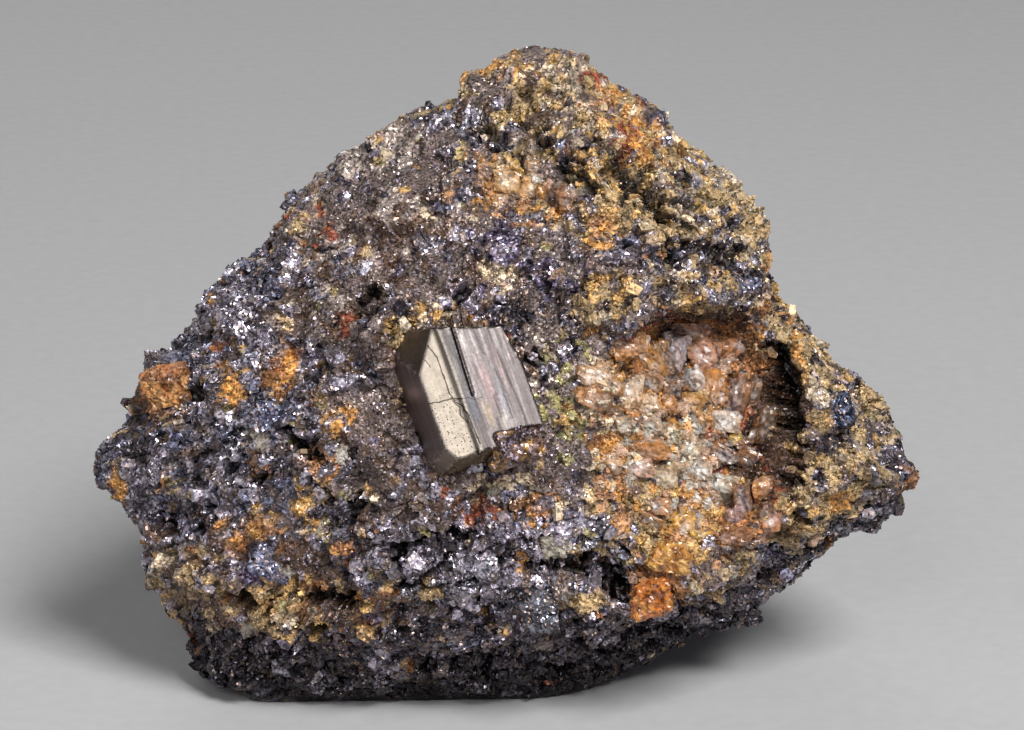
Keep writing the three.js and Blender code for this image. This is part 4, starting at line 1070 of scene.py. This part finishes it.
crystal_down = CRYSTAL_DOWN / np.linalg.norm(CRYSTAL_DOWN)
crystal_out = CRYSTAL_OUT - crystal_down * (CRYSTAL_OUT @ crystal_down)
crystal_out /= np.linalg.norm(crystal_out)
crystal_axes = np.stack([crystal_out, np.cross(crystal_down, crystal_out), crystal_down], axis=1)


def merged_points(node_name):
    """A CAD node's mesh as a bmesh in millimetres, its loose triangles joined."""
    solid = bmesh.new()
    solid.from_mesh(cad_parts[node_name].data)
    bmesh.ops.remove_doubles(solid, verts=solid.verts, dist=1e-6)
    bmesh.ops.scale(solid, vec=(1 / MM,) * 3, verts=solid.verts)
    return solid


def remeshed(node_name, voxel):
    """Points and quads of an even skin over a CAD node."""
    solid = merged_points(node_name)
    mesh = bpy.data.meshes.new("blank")
    solid.to_mesh(mesh)
    solid.free()
    blank = bpy.data.objects.new("blank", mesh)
    bpy.context.scene.collection.objects.link(blank)
    remesh = blank.modifiers.new("even skin", "REMESH")
    remesh.mode, remesh.voxel_size = "VOXEL", voxel
    depsgraph = bpy.context.evaluated_depsgraph_get()
    even = bpy.data.meshes.new_from_object(blank.evaluated_get(depsgraph), depsgraph=depsgraph)
    points = np.array([v.co for v in even.vertices])
    quads = np.array([face.vertices[:] for face in even.polygons if len(face.vertices) == 4])
    bpy.data.objects.remove(blank)
    return points, quads


crystal_points, crystal_quads = remeshed("cobaltite_crystal", VOXEL_MM)
print("crystal skin:", 2 * len(crystal_quads), "triangles")

# %% [markdown]
# The grooves run down both bright faces as steps of different widths. A deep groove divides the striated
# face, and the broken edges are chipped. The same places give the colours: grey on the striated face with
# faint pink, blue and yellow tarnish, pale cream on the bright face, and dark tarnish on the side that
# stands in the rock. The fine cracks are listed here too, and drawn by the finish in the next step.

# %% Groove and colour the crystal
# Lines as (left, down) points on the two bright faces, in mm, then half width.
FACE_CRACKS = [
    ([(0.42, -3.9), (0.48, -2.2)], 0.06), ([(0.48, -2.2), (0.56, -0.95), (0.66, 0.55)], 0.035),
    ([(1.44, 0.94), (1.30, 1.5), (1.24, 2.6), (1.2, 3.4)], 0.036),
    ([(2.05, -3.06), (1.85, -2.29), (1.83, -1.66), (1.88, 0.07), (1.68, 0.65), (1.5, 0.9)], 0.036),
    ([(3.2, 0.14), (2.5, 0.3), (1.87, 0.36), (1.3, 0.6)], 0.036),
    ([(1.3, 0.6), (0.9, 0.62), (0.6, 0.78), (0.1, 0.8)], 0.014),
    ([(1.88, 0.3), (1.62, 1.0), (1.66, 1.5), (1.45, 2.0)], 0.026), ([(2.5, -2.4), (2.3, -1.8)], 0.022),
]
# Colour, left, down, half width, half length on the striated face.
TARNISH = [
    ("#7f6463", -0.5, 0.1, 0.35, 1.7), ("#5d6675", 0.87, 1.2, 0.3, 1.2),
    ("#7d6a4a", 0.05, 1.8, 0.3, 1.0), ("#4e5254", 0.95, -1.6, 0.42, 2.4),
    ("#76615f", -1.65, -0.8, 0.25, 1.6), ("#64676f", -1.1, 1.2, 0.25, 1.8),
    ("#544f4c", -2.3, 1.2, 0.3, 1.8), ("#8a8580", -0.1, -2.6, 0.35, 1.3),
    ("#8f8a84", -1.9, -2.2, 0.2, 1.2), ("#5f5a57", 0.2, -0.6, 0.2, 1.6),
    ("#938d84", 1.1, -1.2, 0.15, 1.8), ("#87817a", -0.9, 2.6, 0.5, 0.8),
]
TARNISH_SHARE = 0.27
# Width of the steps in mm, their height, and how far one runs before it changes.
GROOVES = [(0.62, 0.008, 6.0), (0.31, 0.006, 4.0)]
DEEP_GROOVE_MM = 0.1
# Where the dark band beside the bright face begins and ends, and where painted shade dims the edge's
# highlight, in mm to the left.
BAND_FROM, BAND_TO, PAINTED_EDGE_SHADE_AT = 0.5, 1.72, 1.42

on_axes = (crystal_points - CRYSTAL_CENTRE) @ crystal_axes
out, left, down = on_axes.T
face_gap = {}
for name, (normal, distance, _) in CRYSTAL_FACES.items():
    face_gap[name] = distance - on_axes @ (np.array(normal) / np.linalg.norm(normal))
on_face = {name: 1 - smooth_step(0.04, 0.16, away) for name, away in face_gap.items()}


def grooves(across, channel):
    """Height of the parallel steps at a place across them."""
    height = np.zeros(len(across))
    for n, (width, step, run) in enumerate(GROOVES):
        strip = np.floor(across / width + 0.2 * np.sin(down * 0.7 + n))
        stretch = np.floor(down / run + cell_value(np.stack([strip, strip * 0, strip * 0], axis=1), channel))
        cell = np.stack([strip, stretch, np.full(len(strip), n)], axis=1)
        height += (cell_value(cell, channel + 1) - 0.5) * 2 * step
    return height


height = grooves(left, 60) * on_face["striated"] + grooves(left * 1.12, 64) * 0.6 * on_face["bright"]
groove = smooth_step(0.11, 0.03, np.abs(left - 0.53 - 0.045 * down)) * smooth_step(0.7, 0.3, down)
groove *= on_face["striated"]
height -= groove * DEEP_GROOVE_MM
seen = np.clip(on_face["striated"] + on_face["bright"], 0, 1)
edge = (sum(on_face.values()) > 1.3) & (seen < 0.95)
chipped = chip_height(crystal_points, 0.55, 0.3, 0.16)
height += np.where(edge, np.minimum(chipped, 0) * 0.7, 0)
broken = np.maximum.reduce([on_face["top"] * 0.3, on_face["bottom"], on_face["upper right"] * 0.4])
height += chipped * broken * 0.8
crystal_normals = corner_normals(crystal_points, crystal_quads)
crystal_points = crystal_points + crystal_normals * height[:, None]

weights = np.stack([share ** 2 + 1e-4 for share in on_face.values()], axis=1)
face_colours = np.array([hex_to_linear(code) for _, _, code in CRYSTAL_FACES.values()])
crystal_tint = weights @ face_colours / weights.sum(axis=1, keepdims=True)
for code, at_left, at_down, half_width, half_length in TARNISH:
    apart = np.hypot((left - at_left) / half_width, (down - at_down) / half_length)
    share = (1 - smooth_step(0.2, 1.3, apart)) * on_face["striated"] * TARNISH_SHARE
    crystal_tint += (np.array(hex_to_linear(code)) - crystal_tint) * share[:, None]
# Painted shade in the groove, and on the edge between the faces to dim its highlight. The striated face's
# band beside it is darker too.
crystal_tint *= (1 - 0.6 * groove)[:, None]
crystal_tint *= (1 - 0.4 * smooth_step(0.3, 0.9, on_face["striated"] * on_face["bright"] * 2))[:, None]
band = smooth_step(BAND_FROM, 0.62, left - 0.03 * down) * smooth_step(BAND_TO, 1.45, left) * seen
# The edge between the faces once more: painted shade that dims its highlight.
painted_edge_shade = smooth_step(0.24, 0.1, np.abs(left - PAINTED_EDGE_SHADE_AT)) * seen
crystal_tint *= ((1 - 0.35 * band) * (1 - 0.5 * painted_edge_shade))[:, None]
crystal = new_piece("cobaltite_striated_crystal", crystal_points, crystal_quads,
                    {"tint": with_shade(crystal_tint), "axes": on_axes, "seen": seen,
                     "plain": on_face["bright"] * 0.8 * (1 - band),
                     "pitted": on_face["bright"] * smooth_step(-1.5, 1.0, down)})
crystal.data.polygons.foreach_set("use_smooth", np.ones(len(crystal.data.polygons), dtype=bool))
print("grooves from", round(height.min(), 2), "to", round(height.max(), 2), "mm")

# %% [markdown]
# Cobaltite is a sulphide with a bright metallic shine, silver-white with a warm tinge. Its colour comes
# with the mesh. What is finer than the mesh is worked out in the finish: grooves 0.1 mm apart, as a noise
# drawn out along the crystal, pinholes as dots in small cells, and the cracks as a distance to lines.

# %% Finish the crystal
FINE_GROOVES_PER_MM = 8.0
CRACK_SWAY_MM = 0.22


def crack_distance(tree, axes, cracks):
    """How many half widths a point of the face is from the nearest crack, whose lines sway a little."""
    sway = add_node(tree, "ShaderNodeTexNoise", {"Vector": axes, "Scale": 2.5, "Detail": 4.0})
    swayed = add_node(tree, "ShaderNodeVectorMath",
                      {0: sway.outputs["Color"], 1: (CRACK_SWAY_MM,) * 3, 2: axes}, operation="MULTIPLY_ADD")
    here = add_node(tree, "ShaderNodeVectorMath", {0: swayed.outputs[0], 1: (0, 1, 1)}, operation="MULTIPLY")
    usual_sway = Vector((0, CRACK_SWAY_MM / 2, CRACK_SWAY_MM / 2))
    nearest = None
    for line, half_width in cracks:
        line = [Vector((0, *point)) + usual_sway for point in line]
        for start, end in zip(line, line[1:]):
            way = (end - start).normalized()
            from_start = add_node(tree, "ShaderNodeVectorMath", {0: here.outputs[0], 1: start},
                                  operation="SUBTRACT")
            along = add_node(tree, "ShaderNodeVectorMath", {0: from_start.outputs[0], 1: way},
                             operation="DOT_PRODUCT")
            kept = add_node(tree, "ShaderNodeClamp", {0: along.outputs["Value"], 2: (end - start).length})
            on_line = add_node(tree, "ShaderNodeVectorMath", {0: way, "Scale": kept.outputs[0]},
                               operation="SCALE")
            apart = add_node(tree, "ShaderNodeVectorMath", {0: from_start.outputs[0], 1: on_line.outputs[0]},
                             operation="DISTANCE")
            widths = add_node(tree, "ShaderNodeMath", {0: apart.outputs["Value"], 1: 1 / half_width},
                              operation="MULTIPLY").outputs[0]
            if nearest is not None:
                widths = add_node(tree, "ShaderNodeMath", {0: widths, 1: nearest},
                                  operation="MINIMUM").outputs[0]
            nearest = widths
    return nearest


crystal_finish, tree, shader = new_finish("striated cobaltite")
axes = add_node(tree, "ShaderNodeAttribute", attribute_name="axes").outputs["Vector"]
colour = add_node(tree, "ShaderNodeAttribute", attribute_name="tint").outputs["Color"]
on_seen, on_pitted, on_plain = [add_node(tree, "ShaderNodeAttribute", attribute_name=name).outputs["Fac"]
                                for name in ("seen", "pitted", "plain")]
# Fine grooves on the striated face, soft blotches on the bright one.
drawn_out = add_node(tree, "ShaderNodeVectorMath",
                     {0: axes, 1: (FINE_GROOVES_PER_MM, FINE_GROOVES_PER_MM, 0.35)}, operation="MULTIPLY")
fine = add_node(tree, "ShaderNodeTexNoise", {"Vector": drawn_out.outputs[0], "Scale": 1.0, "Detail": 3.0})
broad = add_node(tree, "ShaderNodeTexNoise", {"Vector": drawn_out.outputs[0], "Scale": 0.22, "Detail": 1.0})
streaks = add_node(tree, "ShaderNodeMath", {0: fine.outputs[0], 1: 3.0, 2: broad.outputs[0]},
                   operation="MULTIPLY_ADD")
streaked = add_node(tree, "ShaderNodeMapRange", {0: streaks.outputs[0], 1: 1.45, 2: 2.55, 3: 0.76, 4: 1.24})
blotches = add_node(tree, "ShaderNodeTexNoise", {"Vector": axes, "Scale": 1.7, "Detail": 5.0})
blotched = add_node(tree, "ShaderNodeMapRange", {0: blotches.outputs[0], 1: 0.35, 2: 0.62, 3: 0.82, 4: 1.06})
striped = add_node(tree, "ShaderNodeMix", {0: on_plain, 2: streaked.outputs[0], 3: blotched.outputs[0]})
# Cracks and pinholes, darkened with painted shade.
crack_away = crack_distance(tree, axes, FACE_CRACKS)
in_crack = add_node(tree, "ShaderNodeMapRange", {0: crack_away, 1: 1.6, 2: 0.6, 3: 0.0, 4: on_seen})
holes = add_node(tree, "ShaderNodeTexVoronoi", {"Vector": axes, "Scale": 9.0})
hole_size = add_node(tree, "ShaderNodeSeparateColor", {0: holes.outputs["Color"]})
hole_away = add_node(tree, "ShaderNodeMath",
                     {0: hole_size.outputs[0], 1: -0.5, 2: holes.outputs["Distance"]},
                     operation="MULTIPLY_ADD")
in_hole = add_node(tree, "ShaderNodeMapRange",
                   {0: hole_away.outputs[0], 1: 0.0, 2: -0.14, 3: 0.0, 4: on_pitted})
dark = add_node(tree, "ShaderNodeMath", {0: in_crack.outputs[0], 1: in_hole.outputs[0]}, operation="MAXIMUM")
left_over = add_node(tree, "ShaderNodeMath", {0: dark.outputs[0], 1: -0.8, 2: 1.0}, operation="MULTIPLY_ADD")
# An uneven gloss, and the grooves once more as a shallow bump.
grain = add_node(tree, "ShaderNodeTexNoise", {"Vector": axes, "Scale": 7.0, "Detail": 3.0})
rough = add_node(tree, "ShaderNodeMapRange", {0: grain.outputs[0], 1: 0.3, 2: 0.7, 3: 0.33, 4: 0.46})
dents = add_node(tree, "ShaderNodeBump", {"Height": fine.outputs[0], "Strength": 0.3, "Distance": 0.01 * MM})
colour = shaded(tree, colour, striped.outputs[0], left_over.outputs[0])
finish_surface(tree, shader, colour, rough.outputs[0], dents.outputs[0], 1.0)
crystal.data.materials.append(crystal_finish)
print(crystal_finish.name, "with", len(tree.nodes), "nodes")

# %% [markdown]
# ## The single grains
# The corner fill and the seven larger grains are faceted solids in the CAD model. Each gets a finer skin
# pushed out to the same flat faces, then chips of its own: rusty carbonate crumbles, quartz is sugary,
# and sulphide only shows a few steps of its cleavage. The CAD solids stand a little clear of the rock, as
# they have to, and here that gap is closed, because on the real rock the grains have grown into it.

# %% Wrap the single grains in finer skins
# Node, name, finish, slot, colours, chip size and depth in mm.
SINGLE_GRAINS = [
    ("crystal_corner_fill", "rusty_corner_fill", mica_finish, "brown_gangue",
     ("#6e5446", "#93703f", "#3a2c26"), 0.5, 0.32),
    ("rust_orange_grain", "orange_carbonate_grain", quartz_finish, "rusty_carbonate",
     ("#b0641f", "#8c4a1c", "#c5823a"), 0.45, 0.25),
    ("amber_grain", "amber_quartz_grain", quartz_finish, "stained_quartz",
     ("#b8803a", "#8e5a2a", "#c99a50"), 0.5, 0.2),
    ("pale_quartz_grain", "pale_quartz_grain_worn", quartz_finish, "pale_quartz",
     ("#a9a293", "#8f897c", "#bdb6a6"), 0.5, 0.2),
    ("dark_sulphide_grain", "dark_sulphide_grain_cleaved", sulphide_finish, "dark_sulphide",
     ("#55565e", "#3c3d44", "#8a8c96"), 0.5, 0.2),
    ("blue_sulphide_grain", "blue_sulphide_grain_cleaved", sulphide_finish, "blue_sulphide",
     ("#3c4456", "#2a303e", "#6c7894"), 0.5, 0.12),
    ("violet_sulphide_grain", "violet_sulphide_grain_cleaved", sulphide_finish, "violet_sulphide",
     ("#7d7e96", "#62637c", "#a4a6bc"), 0.45, 0.2),
    ("rusty_edge_grain", "rusty_edge_grain_crumbly", rust_finish, "rusty_carbonate",
     ("#98603a", "#6a4228", "#b07e4c"), 0.8, 0.28),
]
GRAIN_STEPS = 13
GAP_MM = 0.25
# The corner fill is moved against the crystal's broken corner.
CORNER_SHIFT = (-0.3, 0, 0.22)


def wrapped(node_name, codes, chip, depth):
    """A finer skin over a convex CAD node, with chips and three colours in its cells."""
    solid = merged_points(node_name)
    corners = [v.co.copy() for v in solid.verts]
    solid.free()
    heart = sum(corners, Vector()) / len(corners)
    normals, distances = hull_faces(corners, heart)
    rays, quads = cube_sphere(GRAIN_STEPS)
    points = rays * worn_reach(rays, normals, distances + GAP_MM, 0.16)[:, None] + np.array(heart)
    outward = corner_normals(points, quads)
    lift = chip_height(points, chip, depth * 1.6, depth)
    lift = lift + chip_height(points, chip * 0.45, depth, depth * 0.4) - depth * 0.25
    colours = np.array([hex_to_linear(code) for code in codes])
    draw = cell_value(nearest_cells(points, chip)[0], 14) * len(codes)
    tints = colours[np.minimum(draw.astype(int), len(codes) - 1)]
    aside = CORNER_SHIFT if node_name == "crystal_corner_fill" else (0, 0, 0)
    return points + outward * lift[:, None] + aside, quads, tints


single_grains = {}
for node, name, finish, slot, codes, chip, depth in SINGLE_GRAINS:
    single_grains[node] = piece_of(name, wrapped(node, codes, chip, depth), finish)
    print(name, 2 * len(single_grains[node].data.polygons), "triangles")

# %% [markdown]
# ## Light and floor
# One soft light high on the right makes the rock's relief stand out, a weak one fills the left, and a
# small card stands where the crystal's bright face mirrors it. A wide pale floor runs out of the picture.

# %% Light the scene
# Direction from the rock, distance, size in metres, watts, colour.
LIGHTS = {
    "key": ((0.36, -0.54, 0.76), 0.50, 0.20, 3.2, "#ffffff"),
    "fill": ((-0.75, -0.6, 0.35), 0.60, 0.40, 0.7, "#f4f4ff"),
    "low fill": ((0.5, -0.82, 0.1), 0.60, 0.50, 0.75, "#f6f0ff"),
    "face card": ((-0.16, -0.82, 0.52), 0.45, 0.10, 0.3, "#fffaf2"),
    "back": ((-0.3, 0.9, 0.6), 0.60, 0.40, 0.8, "#ffffff"),
}
for name, (direction, distance, size, watts, code) in LIGHTS.items():
    lamp = bpy.data.objects.new(name, bpy.data.lights.new(name, "AREA"))
    lamp.data.shape, lamp.data.size, lamp.data.energy = "SQUARE", size, watts
    lamp.data.color = hex_to_linear(code)
    towards = Vector(direction).normalized()
    lamp.location = CAMERA_TARGET + towards * distance
    lamp.rotation_euler = towards.to_track_quat("Z", "Y").to_euler()
    bpy.context.scene.collection.objects.link(lamp)

world = bpy.data.worlds.new("studio")
world.use_nodes = True
surroundings = world.node_tree.nodes["Background"].inputs
surroundings["Color"].default_value = (*hex_to_linear("#8f8d94"), 1)
surroundings["Strength"].default_value = 0.17
bpy.context.scene.world = world
bpy.context.scene.view_settings.view_transform = "Standard"

FLOOR_HALF = 2.0
floor_corners = np.array([(-1, -1, 0), (1, -1, 0), (1, 1, 0), (-1, 1, 0)]) * FLOOR_HALF / MM
floor = new_piece("floor", floor_corners - (0, 0, 0.02), np.array([[0, 1, 2, 3]]))
floor_finish, tree, shader = new_finish("matt pale board")
place = add_node(tree, "ShaderNodeTexCoord").outputs["Object"]
fibre = add_node(tree, "ShaderNodeTexNoise", {"Vector": place, "Scale": 900.0, "Detail": 2.0})
pale = add_node(tree, "ShaderNodeMapRange", {0: fibre.outputs[0], 3: 0.40, 4: 0.46})
tree.links.new(pale.outputs[0], shader.inputs["Base Color"])
shader.inputs["Roughness"].default_value = 0.8
floor.data.materials.append(floor_finish)
print(len(LIGHTS), "lights")

# %% [markdown]
# ## The pieces and the body
# Every piece rides on the one body and stands for the CAD nodes that it covers, which are hidden. Its row
# also names the record's material slot that its finish belongs to. Grains strewn over the rock stand for no
# CAD node of their own.

# %% Tie the pieces to the frame
PIECES = [
    (rock, "matrix_rock", ["matrix_rock"]),
    (hollow_quartz, "stained_quartz", ["hollow_quartz_crust"]),
    (pocket_quartz, "stained_quartz", ["upper_quartz_crust"]),
    (crystal, "cobaltite", ["cobaltite_crystal"]),
]
PIECES += [(piece, "matrix_rock", []) for piece in grain_pieces.values()]
PIECES += [(single_grains[row[0]], row[3], [row[0]]) for row in SINGLE_GRAINS]
for piece, slot, nodes in PIECES:
    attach(piece, "root")
    if nodes:
        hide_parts(*nodes)
print(len(PIECES), "pieces,", sum(len(p.data.polygons) for p, _, _ in PIECES), "faces")
